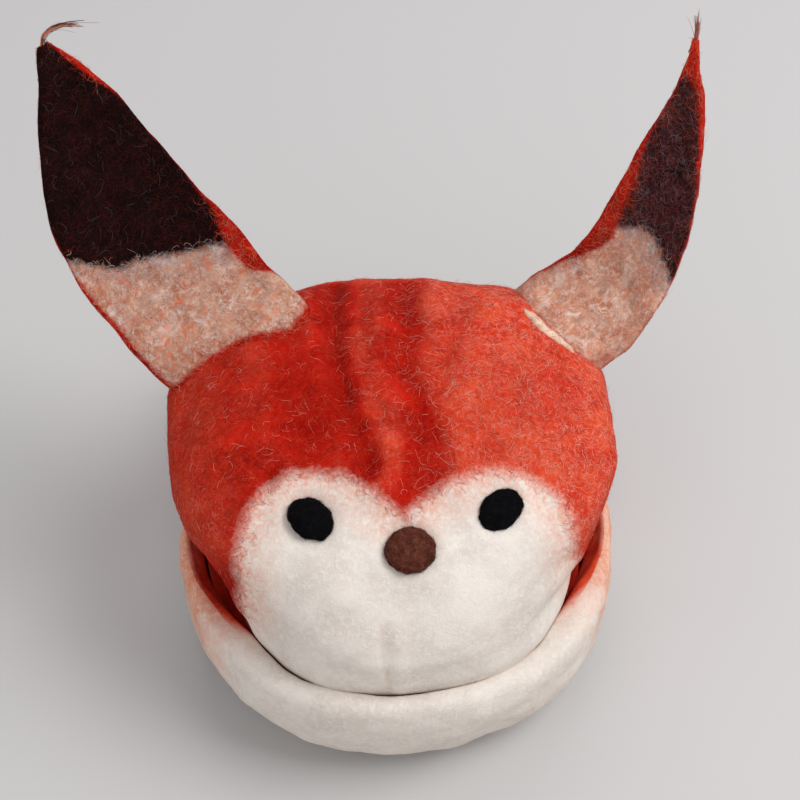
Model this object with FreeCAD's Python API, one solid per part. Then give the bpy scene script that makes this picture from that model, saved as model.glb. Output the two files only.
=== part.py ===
import FreeCAD, Part
import math
import os

# A felted fox hand puppet that rests on its lower jaw.
# Millimetres. +Z is up, the snout points along -Y, and the origin is the
# centre of the flat patch under the lower jaw.

os.makedirs("parts", exist_ok=True)

Vector = FreeCAD.Vector

# Wall thicknesses
FELT = 4.5            # head, jaw and sleeve
PALATE = 3.0          # the two linings of the mouth
EAR_FELT = 4.6        # both layers of an ear together
LAYER_GAP = 0.25      # between the two layers of an ear

# The mouth folds about a line across the head
FOLD_Y = 40.0
FOLD_Z = 36.0
FOLD_RADIUS = 3.0
FOLD_HALF_LENGTH = 52.0

# Radii about the fold that keep the jaw clear of the head as it opens
CHEEK_RADIUS = 30.0
CHEEK_START = 44.0
PALATE_SWING = 8.4
THROAT_RADIUS = 37.8

# Upper head, from the throat to the crown:
# height, half width, front, back, squareness of the front
HEAD_MIDDLE = 35.0
FRONT_SHARE = 0.42     # least share of a level outline that is its front half
HEAD_BACK_SQUARENESS = 2.5
HEAD = [
    (3.5, 46.0, -20.0, 72.0, 2.4),
    (10.0, 53.0, -30.0, 80.0, 2.4),
    (20.0, 57.0, -37.5, 86.0, 2.4),
    (36.0, 58.0, -41.5, 89.0, 2.45),
    (44.0, 61.5, -43.6, 90.0, 2.45),
    (54.0, 69.5, -44.0, 92.0, 2.35),
    (66.0, 74.0, -39.0, 93.0, 2.3),
    (78.0, 74.5, -28.0, 94.0, 2.4),
    (87.0, 71.0, -14.0, 92.0, 2.6),
    (94.0, 65.5, 0.0, 88.0, 2.8),
    (100.0, 54.0, 17.0, 80.0, 2.8),
    (103.6, 37.0, 34.0, 66.0, 2.7),
    (105.0, 18.0, 44.0, 57.0, 2.4),
]

# Lower jaw, same columns
JAW_MIDDLE = 36.0
JAW = [
    (0.0, 44.0, -30.0, 30.0, 2.3),
    (4.0, 58.0, -42.0, 36.0, 2.3),
    (12.0, 68.0, -49.0, 40.0, 2.3),
    (22.0, 72.5, -52.0, 42.0, 2.3),
    (34.0, 72.5, -51.5, 42.0, 2.3),
]

# Rolled rim of the lower jaw
LIP_Z = 36.2
LIP_HALF_WIDTH = 68.3
LIP_FRONT = -47.8
LIP_THICKNESS = 8.0
LIP_HEIGHT = 9.2
LIP_END_Y = 38.0
LIP_SQUARENESS = 2.3

# Pale face, as seen from the front: X and Z of its outline
FACE_OUTLINE = [
    (-66.0, 36.0), (-64.0, 50.0), (-58.5, 66.0), (-50.0, 82.0),
    (-41.0, 91.5), (-30.0, 95.0), (-17.0, 93.5), (-7.0, 90.0),
    (0.5, 87.4),
    (8.0, 90.0), (18.0, 93.3), (31.0, 94.2), (42.0, 89.5),
    (51.0, 78.5), (58.5, 62.0), (63.5, 47.0), (66.0, 36.0),
]
FACE_DEPTH_END = 16.0

# Eyes and nose: centre, half sizes, outward direction, roll in degrees
LEFT_EYE = ((-29.1, -9.2, 88.9), (7.3, 6.0, 2.9), (-0.08, -0.50, 0.86), -24.0)
RIGHT_EYE = ((29.1, -10.2, 88.3), (7.3, 6.0, 2.9), (0.08, -0.50, 0.86), 26.0)
NOSE = ((1.0, -20.6, 84.4), (8.6, 7.8, 3.6), (0.0, -0.52, 0.85), 0.0)

# Opening in the back of the head, and the wrist sleeve that fills it
NECK_Z = 47.0
NECK_HALF_WIDTH = 50.0
NECK_HALF_HEIGHT = 31.0
# distance back, centre height, half width, half height
SLEEVE = [
    (84.0, 47.0, 46.5, 26.0),
    (95.0, 44.5, 47.5, 25.5),
    (105.0, 38.0, 49.5, 24.0),
    (116.0, 30.0, 52.0, 22.0),
    (125.0, 24.0, 54.0, 20.5),
]
CUFF = [
    (125.3, 22.3, 55.0, 21.6),
    (128.0, 22.0, 56.0, 22.0),
    (131.0, 21.8, 55.0, 21.4),
]

# Ears: base corners and tip of the ear's own plane, the distance of the
# hinge from the base, then stations along the ear with the inner edge, the
# outer edge and the depth of the cup, and the point where the dark tip starts
HINGE_UP = 8.0
BASE_HOLLOW_RADIUS = 70.0
LEFT_EAR = {
    "inner": (-26.5, 73.4, 101.0),
    "outer": (-69.0, 48.8, 89.7),
    "tip": (-99.4, 100.0, 191.2),
    "stations": [
        (1.0, -25.2, 26.6, 0.0), (10.0, -23.4, 28.8, 0.6),
        (24.0, -21.6, 30.8, 2.2), (43.0, -18.6, 32.3, 4.2),
        (60.0, -15.4, 31.6, 4.6), (76.0, -12.9, 26.8, 3.8),
        (90.0, -11.0, 18.9, 2.4), (103.0, -7.9, 10.4, 1.0),
        (111.0, -4.2, 4.6, 0.3), (115.0, -1.8, 1.6, 0.1),
    ],
    "dark_from": ((-26.0, 21.0), (34.0, 56.0)),
    "wisp": [(-99.4, 100.0, 191.6), (-98.2, 100.6, 194.6),
             (-94.4, 100.8, 197.0), (-89.6, 100.4, 197.8),
             (-85.4, 100.0, 197.4)],
}
RIGHT_EAR = {
    "inner": (44.0, 88.0, 90.0),
    "outer": (72.5, 49.4, 82.9),
    "tip": (103.0, 105.0, 182.0),
    "stations": [
        (1.0, -18.0, 26.0, 0.0), (10.0, -13.0, 30.2, 0.8),
        (21.0, -6.4, 33.0, 2.4), (33.0, -1.0, 33.9, 4.0),
        (45.0, 2.4, 33.2, 4.6), (59.0, 3.7, 30.6, 4.2),
        (72.0, 4.1, 25.6, 3.2), (84.0, 4.4, 19.6, 2.0),
        (95.0, 4.6, 12.6, 1.0), (107.0, 2.9, 5.2, 0.2),
    ],
    "dark_from": ((-4.0, 26.0), (36.0, 45.0)),
    "wisp": [(103.5, 100.3, 177.2), (104.6, 102.8, 182.2),
             (104.8, 104.8, 187.2), (105.4, 106.4, 192.0)],
}
WISP_RADIUS = 1.3

# Pale ridge on the head in front of the right ear
EAR_RIDGE = [(47.8, 56.6, 101.3), (52.9, 52.4, 100.2), (57.6, 49.2, 98.7),
             (61.7, 47.0, 96.9), (66.8, 45.6, 93.3)]
RIDGE_RADIUS = 1.5


def curve(points, closed=False):
    """A smooth edge through the points."""
    spline = Part.BSplineCurve()
    spline.interpolate([Vector(*point) for point in points], PeriodicFlag=closed)
    return spline.toShape()


def signed_power(value, exponent):
    return math.copysign(abs(value) ** exponent, value)


def outline(row, middle):
    """A closed level outline whose front and back halves differ."""
    height, half_width, front, back, squareness = row
    middle = max(middle, front + FRONT_SHARE * (back - front))
    count = 56
    points = []
    for step in range(count):
        angle = 2.0 * math.pi * (step + 0.5) / count
        across = math.cos(angle)
        along = math.sin(angle)
        power = 2.0 / (squareness if along < 0.0 else HEAD_BACK_SQUARENESS)
        reach = middle - front if along < 0.0 else back - middle
        points.append((half_width * signed_power(across, power),
                       middle + reach * signed_power(along, power),
                       height))
    return Part.Wire([curve(points, closed=True)])


def upright_ellipse(back, centre_z, half_width, half_height):
    points = []
    for step in range(32):
        angle = 2.0 * math.pi * step / 32
        points.append((half_width * math.cos(angle), back,
                       centre_z + half_height * math.sin(angle)))
    return Part.Wire([curve(points, closed=True)])


def interpolate(pairs, where):
    """Straight-line value between sorted (position, value) pairs."""
    for (low, first), (high, second) in zip(pairs, pairs[1:]):
        if where <= high:
            share = (where - low) / (high - low)
            return first + share * (second - first)
    return pairs[-1][1]


def inset_profile(heights, reaches, wall):
    """Move a profile inwards by the wall, square to its own slope."""
    moved = []
    last = len(heights) - 1
    for index, (height, reach) in enumerate(zip(heights, reaches)):
        before = max(index - 1, 0)
        after = min(index + 1, last)
        rise = heights[after] - heights[before]
        run = reaches[after] - reaches[before]
        length = math.hypot(rise, run)
        moved.append((height + wall * run / length, reach - wall * rise / length))
    return sorted(moved)


def inside_rows(rows, middle, levels, wall):
    """Rows of the hollow inside a shell, at the given levels."""
    heights = [row[0] for row in rows]
    widths = inset_profile(heights, [row[1] for row in rows], wall)
    fronts = inset_profile(heights, [middle - row[2] for row in rows], wall)
    backs = inset_profile(heights, [row[3] - middle for row in rows], wall)
    squares = [(row[0], row[4]) for row in rows]
    return [(level,
             interpolate(widths, level),
             middle - interpolate(fronts, level),
             middle + interpolate(backs, level),
             interpolate(squares, level)) for level in levels]


def loft(wires):
    return Part.makeLoft(wires, True, False)


def body(rows, middle):
    return loft([outline(row, middle) for row in rows])


def block(low, high):
    size = [top - bottom for bottom, top in zip(low, high)]
    return Part.makeBox(size[0], size[1], size[2], Vector(*low))


def fold_cylinder(radius, half_length=120.0):
    start = Vector(-half_length, FOLD_Y, FOLD_Z)
    return Part.makeCylinder(radius, 2.0 * half_length, start, Vector(1, 0, 0))


def swept(path_edges, profile):
    maker = Part.BRepOffsetAPI.MakePipeShell(Part.Wire(path_edges))
    maker.setFrenetMode(True)
    maker.add(profile)
    maker.build()
    maker.makeSolid()
    return maker.shape()


def front_arc(half_width, front, middle, level, end_y):
    """The front of a level outline, from its left end round to its right."""
    reach = middle - front
    limit = math.asin(signed_power((end_y - middle) / reach, 0.5 * LIP_SQUARENESS))
    power = 2.0 / LIP_SQUARENESS
    points = []
    for step in range(41):
        angle = -math.pi - limit + (math.pi + 2.0 * limit) * step / 40.0
        points.append((half_width * signed_power(math.cos(angle), power),
                       middle + reach * signed_power(math.sin(angle), power), level))
    return curve(points)


def round_profile(start, direction, radius):
    return Part.Wire([Part.makeCircle(radius, start, direction)])


def oval_profile(start, along, across_size, height):
    """An upright oval at the start of a level path."""
    side = Vector(-along.y, along.x, 0.0).normalize()
    points = []
    for step in range(24):
        angle = 2.0 * math.pi * step / 24
        spot = start + side * (0.5 * across_size * math.cos(angle))
        points.append((spot.x, spot.y, start.z + 0.5 * height * math.sin(angle)))
    return Part.Wire([curve(points, closed=True)])


def button(centre, half_sizes, outward, roll):
    """A felted oval lying flat against the face."""
    ball = Part.makeSphere(1.0)
    stretch = FreeCAD.Matrix()
    stretch.A11, stretch.A22, stretch.A33 = half_sizes
    oval = ball.transformGeometry(stretch)
    oval.rotate(Vector(0, 0, 0), Vector(0, 0, 1), roll)
    turn = FreeCAD.Rotation(Vector(0, 0, 1), Vector(*outward))
    oval.Placement = FreeCAD.Placement(Vector(*centre), turn).multiply(oval.Placement)
    return oval


def tapered_wisp(points, radius):
    """A twist of loose fibres that thins out to a point."""
    spots = [Vector(*point) for point in points]
    wires = []
    for index, spot in enumerate(spots):
        before = spots[max(index - 1, 0)]
        after = spots[min(index + 1, len(spots) - 1)]
        share = index / (len(spots) - 1.0)
        thin = radius * (1.0 - 0.75 * share)
        wires.append(Part.Wire([Part.makeCircle(thin, spot, after - before)]))
    return loft(wires)


class Ear:
    """One leaf-shaped ear, built in its own plane and placed on the head."""

    def __init__(self, data):
        self.data = data
        inner, outer, tip = (Vector(*data[key]) for key in ("inner", "outer", "tip"))
        self.base = (inner + outer) * 0.5
        self.up = (tip - self.base).normalize()
        span = outer - inner
        self.across = (span - self.up * span.dot(self.up)).normalize()
        self.front = self.up.cross(self.across)
        if self.front.y > 0.0:
            self.front = self.front * -1.0

    def place(self, up, across, front):
        spot = self.base + self.up * up + self.across * across + self.front * front
        return (spot.x, spot.y, spot.z)

    def section(self, station, low, high, margin):
        """A closed section between two depths, in shares of the felt."""
        up, inner, outer, cup = station
        margin = min(margin, 0.3 * (outer - inner))
        inner += margin
        outer -= margin
        half_felt = 0.5 * EAR_FELT * min(1.0, 0.35 + (outer - inner) / 20.0)
        fronts = []
        backs = []
        for step in range(13):
            share = step / 6.0 - 1.0
            across = 0.5 * (inner + outer) + 0.5 * (outer - inner) * share
            middle = cup * (share * share - 0.35)
            swell = 1.0 - 0.6 * share ** 4
            fronts.append(self.place(up, across, middle + high * half_felt * swell
                                     + LAYER_GAP * 0.5 * (low + high)))
            backs.append(self.place(up, across, middle + low * half_felt * swell
                                    + LAYER_GAP * 0.5 * (low + high)))
        edges = [curve(fronts),
                 Part.makeLine(Vector(*fronts[-1]), Vector(*backs[-1])),
                 curve(backs[::-1]),
                 Part.makeLine(Vector(*backs[0]), Vector(*fronts[0]))]
        return Part.Wire(edges)

    def layer(self, low, high, margin=0.0):
        leaf = loft([self.section(station, low, high, margin)
                     for station in self.data["stations"]])
        centre = Vector(*self.place(HINGE_UP - BASE_HOLLOW_RADIUS, 0.0, -30.0))
        hollow = Part.makeCylinder(BASE_HOLLOW_RADIUS, 60.0, centre, self.front)
        return leaf.cut(hollow)

    def dark_side(self):
        """A block holding everything beyond the start of the dark tip."""
        (across_a, up_a), (across_b, up_b) = self.data["dark_from"]
        slope = (up_b - up_a) / (across_b - across_a)
        corners = []
        for across, up in ((-70.0, None), (70.0, None), (70.0, 160.0), (-70.0, 160.0)):
            if up is None:
                up = up_a + slope * (across - across_a)
            corners.append(Vector(*self.place(up, across, -30.0)))
        face = Part.Face(Part.makePolygon(corners + corners[:1]))
        return face.extrude(self.front * 60.0)


def side_of(shape, sign):
    """The part of a shape beyond the thumb's way in, on one side."""
    if sign < 0:
        return shape.common(block((-200, -200, -50), (-CHEEK_START, 200, 250)))
    return shape.common(block((CHEEK_START, -200, -50), (200, 200, 250)))


def build_head(parts):
    levels = [8.0, 14.0, 22.0, 35.0, 44.0, 54.0, 65.0, 76.0, 84.0, 90.0, 95.5, 98.6, 100.3]
    outside = body(HEAD, HEAD_MIDDLE)
    inside = body(inside_rows(HEAD, HEAD_MIDDLE, levels, FELT), HEAD_MIDDLE)
    neck = upright_ellipse(60.0, NECK_Z, NECK_HALF_WIDTH, NECK_HALF_HEIGHT)
    neck_hole = Part.Face(neck).extrude(Vector(0, 60, 0))
    above = block((-200, -200, FOLD_Z), (200, 200, 200))
    below = block((-200, FOLD_Y, 0), (200, 200, FOLD_Z))
    upper = outside.common(above).cut(inside).cut(neck_hole)
    lower = outside.common(below).cut(inside).cut(neck_hole)

    face_wire = Part.makePolygon([Vector(x, -90.0, z) for x, z in FACE_OUTLINE]
                                 + [Vector(FACE_OUTLINE[0][0], -90.0, FACE_OUTLINE[0][1])])
    face_region = Part.Face(face_wire).extrude(Vector(0, 90.0 + FACE_DEPTH_END, 0))
    face = upper.common(face_region)
    parts["head_cap"] = upper.cut(face_region)

    for name, data in (("left_eye", LEFT_EYE), ("right_eye", RIGHT_EYE), ("nose", NOSE)):
        oval = button(*data)
        parts[name] = oval
        face = face.cut(oval)
    parts["face_mask"] = face

    cheeks = lower.common(fold_cylinder(CHEEK_RADIUS)).cut(fold_cylinder(PALATE_SWING))
    parts["left_cheek"] = side_of(cheeks, -1)
    parts["right_cheek"] = side_of(cheeks, 1)
    parts["throat"] = lower.cut(fold_cylinder(THROAT_RADIUS))

    roll = fold_cylinder(FOLD_RADIUS, FOLD_HALF_LENGTH)
    parts["mouth_fold"] = roll
    slab = block((-100, -100, FOLD_Z), (100, FOLD_Y - 2.0, FOLD_Z + PALATE))
    parts["upper_palate"] = slab.common(inside).cut(roll)

    seam_path = front_arc(57.2, -40.9, HEAD_MIDDLE, FOLD_Z - 1.0, 33.0)
    start = seam_path.valueAt(seam_path.FirstParameter)
    along = seam_path.tangentAt(seam_path.FirstParameter)
    parts["lip_seam"] = swept([seam_path], round_profile(start, along, 0.9))

    ridge = curve(EAR_RIDGE)
    start = ridge.valueAt(ridge.FirstParameter)
    along = ridge.tangentAt(ridge.FirstParameter)
    cord = swept([ridge], round_profile(start, along, RIDGE_RADIUS))
    parts["right_ear_ridge"] = cord.cut(outside)


def build_jaw(parts):
    levels = [FELT, 8.0, 14.0, 23.0, 35.0]
    outside = body(JAW, JAW_MIDDLE)
    rows = inside_rows(JAW, JAW_MIDDLE, levels, FELT)
    inside = body([(z, w, front, 60.0, n) for z, w, front, back, n in rows], JAW_MIDDLE)

    path = front_arc(LIP_HALF_WIDTH, LIP_FRONT, JAW_MIDDLE, LIP_Z, LIP_END_Y)
    start = path.valueAt(path.FirstParameter)
    along = path.tangentAt(path.FirstParameter)
    lip = swept([path], oval_profile(start, along, LIP_THICKNESS, LIP_HEIGHT))
    parts["jaw_lip"] = lip
    parts["jaw_shell"] = outside.cut(inside).cut(lip)

    top = FOLD_Z - 3.0
    slab = block((-100, -100, top - PALATE), (100, LIP_END_Y, top))
    parts["lower_palate"] = slab.common(inside).cut(lip).cut(fold_cylinder(FOLD_RADIUS + 0.5))


def build_ears(parts):
    for side, data in (("left", LEFT_EAR), ("right", RIGHT_EAR)):
        ear = Ear(data)
        parts[side + "_ear_back"] = ear.layer(-1.0, 0.0)
        lining = ear.layer(0.0, 1.0, margin=1.2)
        dark = ear.dark_side()
        parts[side + "_ear_lining"] = lining.cut(dark)
        parts[side + "_ear_dark_tip"] = lining.common(dark)
        wisp = tapered_wisp(data["wisp"], WISP_RADIUS)
        for layer in ("_ear_back", "_ear_dark_tip"):
            wisp = wisp.cut(parts[side + layer])
        parts[side + "_ear_wisp"] = wisp


def tube(stations, wall, reach=1.0):
    outside = loft([upright_ellipse(*row) for row in stations])
    hollow = [(y, z, w - wall, h - wall) for y, z, w, h in stations]
    first = hollow[0]
    last = hollow[-1]
    hollow = ([(first[0] - reach,) + first[1:]] + hollow
              + [(last[0] + reach,) + last[1:]])
    return outside.cut(loft([upright_ellipse(*row) for row in hollow]))


def build_sleeve(parts):
    parts["sleeve"] = tube(SLEEVE, FELT)
    parts["cuff"] = tube(CUFF, FELT + 1.4)


def single_solid(shape, name):
    """The one real solid of a shape, leaving out specks of the cutting."""
    solids = sorted(shape.Solids, key=lambda solid: solid.Volume)
    kept = [solid for solid in solids if solid.Volume > 0.02 * solids[-1].Volume]
    if len(kept) != 1:
        print(name, "has", len(kept), "solids")
    return kept[0] if len(kept) == 1 else Part.makeCompound(kept)


def main():
    parts = {}
    build_head(parts)
    build_jaw(parts)
    build_ears(parts)
    build_sleeve(parts)
    for name, shape in sorted(parts.items()):
        solid = single_solid(shape, name)
        box = solid.BoundBox
        print("%-20s valid %s volume %8.0f  x %6.1f %6.1f  y %6.1f %6.1f  z %6.1f %6.1f"
              % (name, solid.isValid(), solid.Volume, box.XMin, box.XMax,
                 box.YMin, box.YMax, box.ZMin, box.ZMax))
        solid.exportStep("parts/" + name + ".step")


main()
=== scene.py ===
import math

import bpy
import numpy as np
from mathutils import Matrix, Vector, kdtree


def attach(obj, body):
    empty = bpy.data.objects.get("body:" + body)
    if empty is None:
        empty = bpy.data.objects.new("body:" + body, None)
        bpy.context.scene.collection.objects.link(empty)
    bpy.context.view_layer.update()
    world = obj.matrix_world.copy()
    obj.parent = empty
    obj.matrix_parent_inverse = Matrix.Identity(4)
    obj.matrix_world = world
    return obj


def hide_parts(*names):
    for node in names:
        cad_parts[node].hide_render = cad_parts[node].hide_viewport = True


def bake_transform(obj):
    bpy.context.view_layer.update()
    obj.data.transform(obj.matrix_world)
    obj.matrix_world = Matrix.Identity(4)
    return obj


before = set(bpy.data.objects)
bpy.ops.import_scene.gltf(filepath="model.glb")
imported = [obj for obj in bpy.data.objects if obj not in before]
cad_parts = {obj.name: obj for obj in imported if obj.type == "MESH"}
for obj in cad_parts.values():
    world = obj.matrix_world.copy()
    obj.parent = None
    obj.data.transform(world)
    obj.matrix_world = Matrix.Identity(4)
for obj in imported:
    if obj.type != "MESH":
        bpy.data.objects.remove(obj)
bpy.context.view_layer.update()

# A wet-felted fox hand puppet. Shapes are worked out in millimetres and
# turned into metres when a mesh is made.
MM = 0.001

# ---- Numbers of the object

# Thickness of the felt of the head and the sleeve
WALL = 4.5

# Upper head: height, half width, front, back, squareness of the front
HEAD_MIDDLE = 35.0
BACK_SQUARENESS = 2.4
HEAD = np.array([
    (20.0, 57.2, -37.0, 86.0, 2.6),
    (36.0, 57.2, -42.0, 89.0, 2.65),
    (41.0, 58.2, -43.4, 89.6, 2.65),
    (46.0, 59.8, -44.6, 90.4, 2.55),
    (54.0, 63.4, -44.6, 92.0, 2.25),
    (60.0, 68.2, -42.7, 92.6, 2.15),
    (66.0, 71.6, -39.2, 93.0, 2.1),
    (78.0, 73.0, -28.0, 94.0, 2.4),
    (87.0, 70.6, -14.0, 93.0, 2.6),
    (94.0, 63.6, 0.0, 87.0, 2.8),
    (99.6, 53.0, 17.0, 79.0, 2.8),
    (103.0, 38.0, 32.0, 69.0, 2.7),
    (104.4, 19.0, 43.0, 60.0, 2.4),
    (104.7, 4.0, 50.0, 54.0, 2.2),
])
# Rim of the upper lip; where a ring is widest, as a share of its depth; how
# far the right cheek is pulled in; how far the upper lip lies to the right
HEAD_BOTTOM = 36.2
FRONT_SHARE = 0.42
RIGHT_TRIM = 1.7
LIP_SHIFT = 1.0

# Face, seen from 48 degrees above the front: across, and up that view. It
# ends well before the back of the head
FACE_VIEW = math.radians(48.0)
FACE_BACK = 34.0
OFF_FACE = -30.0
FACE = np.array([
    (-80.0, -40.0), (-80.0, 4.0), (-60.0, 17.5), (-52.5, 24.0), (-51.8, 29.6),
    (-52.2, 36.0), (-52.3, 42.3), (-51.4, 47.0), (-49.3, 52.8), (-46.6, 57.6),
    (-43.4, 61.9), (-39.0, 64.6), (-33.2, 66.0), (-25.6, 66.2), (-18.6, 64.6),
    (-13.2, 62.0), (-8.1, 58.2), (-3.5, 54.0), (0.0, 50.6), (3.5, 53.4),
    (8.1, 57.1), (14.9, 60.4), (21.7, 62.2), (31.0, 62.8), (38.5, 61.2),
    (44.5, 57.8), (49.3, 53.2), (52.4, 46.6), (53.6, 41.0), (54.2, 35.5),
    (57.5, 29.0), (66.0, 22.0), (80.0, 10.0), (80.0, -40.0),
])

# Gathers in the crown: polylines with a depth and a width
CREASES = [
    ([(-15.0, 84.0, 98.0), (-15.6, 69.0, 102.8), (-16.7, 50.0, 104.5), (-16.0, 35.4, 103.4),
      (-14.1, 20.9, 100.5), (-11.3, 13.4, 98.6), (-9.4, 4.2, 95.6)], 2.3, 3.2),
    ([(-6.6, 78.0, 100.5), (-6.7, 66.1, 103.5), (-6.6, 48.9, 104.6), (-7.9, 36.9, 103.7),
      (-6.0, 27.0, 102.2), (-4.0, 16.3, 99.4)], 1.1, 2.8),
    ([(8.0, 80.0, 99.5), (7.5, 67.3, 103.3), (7.9, 56.7, 104.5), (4.3, 38.8, 104.0),
      (5.7, 24.1, 101.4), (6.5, 7.7, 96.8), (4.9, -2.8, 92.8)], 1.9, 4.4),
    ([(27.0, 65.7, 102.8), (20.4, 46.7, 104.3), (15.7, 31.2, 102.8), (13.3, 17.3, 99.6),
      (11.0, 4.0, 95.6)], 1.0, 4.0),
    ([(-33.0, 64.0, 101.0), (-29.0, 46.0, 103.4), (-27.0, 30.0, 101.6),
      (-25.0, 14.0, 97.6)], 1.0, 5.0),
]
MUZZLE_CREASE = [(-9.0, -36.5, 68.0), (-8.8, -41.5, 60.0), (-7.9, -44.4, 50.0),
                 (-7.2, -44.6, 38.0)]
MUZZLE_RIDGE = [(-5.0, -37.0, 68.0), (-4.6, -42.0, 60.0), (-4.0, -45.6, 48.0),
                (-3.8, -44.6, 38.0)]

# Eyes and nose: centre, half sizes, outward, roll in degrees
LEFT_EYE = ((-28.5, -9.2, 88.7), (7.7, 6.0, 2.6), (-0.08, -0.50, 0.86), -42.0)
RIGHT_EYE = ((30.3, -10.6, 87.9), (7.6, 5.7, 2.6), (0.08, -0.50, 0.86), 36.0)
NOSE = ((1.2, -20.7, 84.0), (7.9, 7.1, 3.4), (0.0, -0.52, 0.85), 0.0)

# Lower jaw and throat, one bowl of felt, out over the rim and down inside:
# height, half width, front, back, inset
BOWL_MIDDLE = 36.0
BOWL_FRONT = np.array([
    (0.0, 44.0, -30.0, 52.0, 0.0), (0.9, 50.5, -36.0, 60.0, 0.0),
    (3.2, 57.5, -41.5, 69.0, 0.0), (7.5, 64.5, -46.0, 77.0, 0.0),
    (13.5, 69.6, -49.6, 82.5, 0.0), (20.0, 72.4, -51.6, 86.0, 0.0),
    (26.0, 73.2, -52.3, 88.0, 0.0), (31.0, 73.2, -52.3, 88.6, 0.0),
    (34.0, 73.1, -52.2, 88.6, 0.1), (36.4, 73.0, -52.1, 88.6, 0.3),
    (38.8, 73.0, -52.1, 88.6, 1.1), (40.4, 73.0, -52.1, 88.6, 2.6),
    (41.1, 73.0, -52.1, 88.6, 4.6), (40.7, 73.0, -52.1, 88.6, 6.4),
    (39.4, 73.0, -52.1, 88.6, 7.5), (36.8, 73.0, -52.1, 88.6, 7.9),
    (33.6, 73.0, -52.1, 88.6, 7.4), (30.5, 73.0, -52.2, 88.6, 5.6),
    (26.0, 73.0, -52.2, 88.0, 4.6), (16.0, 70.8, -50.5, 84.0, 4.5),
    (9.0, 65.5, -47.0, 78.0, 4.5), (5.6, 58.0, -42.0, 70.0, 4.0),
    (4.6, 46.0, -32.0, 54.0, 3.0),
])
BOWL_BACK = np.array([
    (0.0, 44.0, -30.0, 52.0, 0.0), (1.2, 50.5, -36.0, 62.0, 0.0),
    (4.0, 57.0, -41.5, 72.0, 0.0), (9.0, 63.0, -46.0, 79.5, 0.0),
    (15.0, 67.0, -49.6, 84.0, 0.0), (21.0, 69.0, -51.6, 86.5, 0.0),
    (27.0, 69.6, -52.3, 88.0, 0.0), (31.5, 69.4, -52.3, 88.8, 0.0),
    (35.0, 69.2, -52.2, 89.4, 0.0), (38.0, 68.9, -52.1, 89.6, 0.0),
    (42.0, 68.2, -52.1, 89.4, 0.0), (47.0, 66.8, -52.1, 88.4, 0.0),
    (50.4, 65.4, -52.1, 87.0, 1.0), (50.8, 65.0, -52.1, 87.0, 2.2),
    (49.8, 65.4, -52.1, 87.0, 3.4), (45.0, 66.6, -52.1, 88.0, 4.0),
    (38.0, 66.8, -52.1, 88.8, 4.2), (32.0, 69.0, -52.2, 88.8, 4.4),
    (26.0, 69.4, -52.2, 88.0, 4.5), (16.0, 67.4, -50.5, 84.6, 4.5),
    (9.5, 63.4, -47.0, 79.8, 4.5), (5.8, 56.0, -42.0, 70.0, 4.0),
    (4.8, 46.0, -32.0, 54.0, 3.0),
])
BOWL_FRONT_SQUARENESS = 2.3
# How far the jaw's front is set back; how much thinner its rim is at the
# sides; how far the inside slopes in at the corners; how much thicker the rim
# is at its two diagonals; where along the depth the front's profile turns
# into the back's
JAW_BACK_STEP = 0.9
RIM_THINNING = 0.42
CORNER_SLOPE = 4.2
DIAGONAL_SWELL = 3.2
CORNER_START = 24.0
CORNER_END = 50.0

# Wrist sleeve: distance back, centre height, half width, half height
SLEEVE = np.array([
    (82.0, 47.0, 45.5, 25.2), (88.0, 46.4, 46.0, 25.2), (95.0, 44.3, 47.2, 25.2),
    (105.0, 38.0, 49.5, 24.0), (116.0, 30.0, 52.0, 22.0), (125.0, 24.2, 54.0, 20.6),
    (130.0, 22.2, 55.0, 20.4),
])
# Way from the sleeve into the head: height, half width, half height, and how
# far back a cell has to be to belong to it
NECK_HOLE = (46.6, 43.6, 22.8)
NECK_START = 60.0

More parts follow.
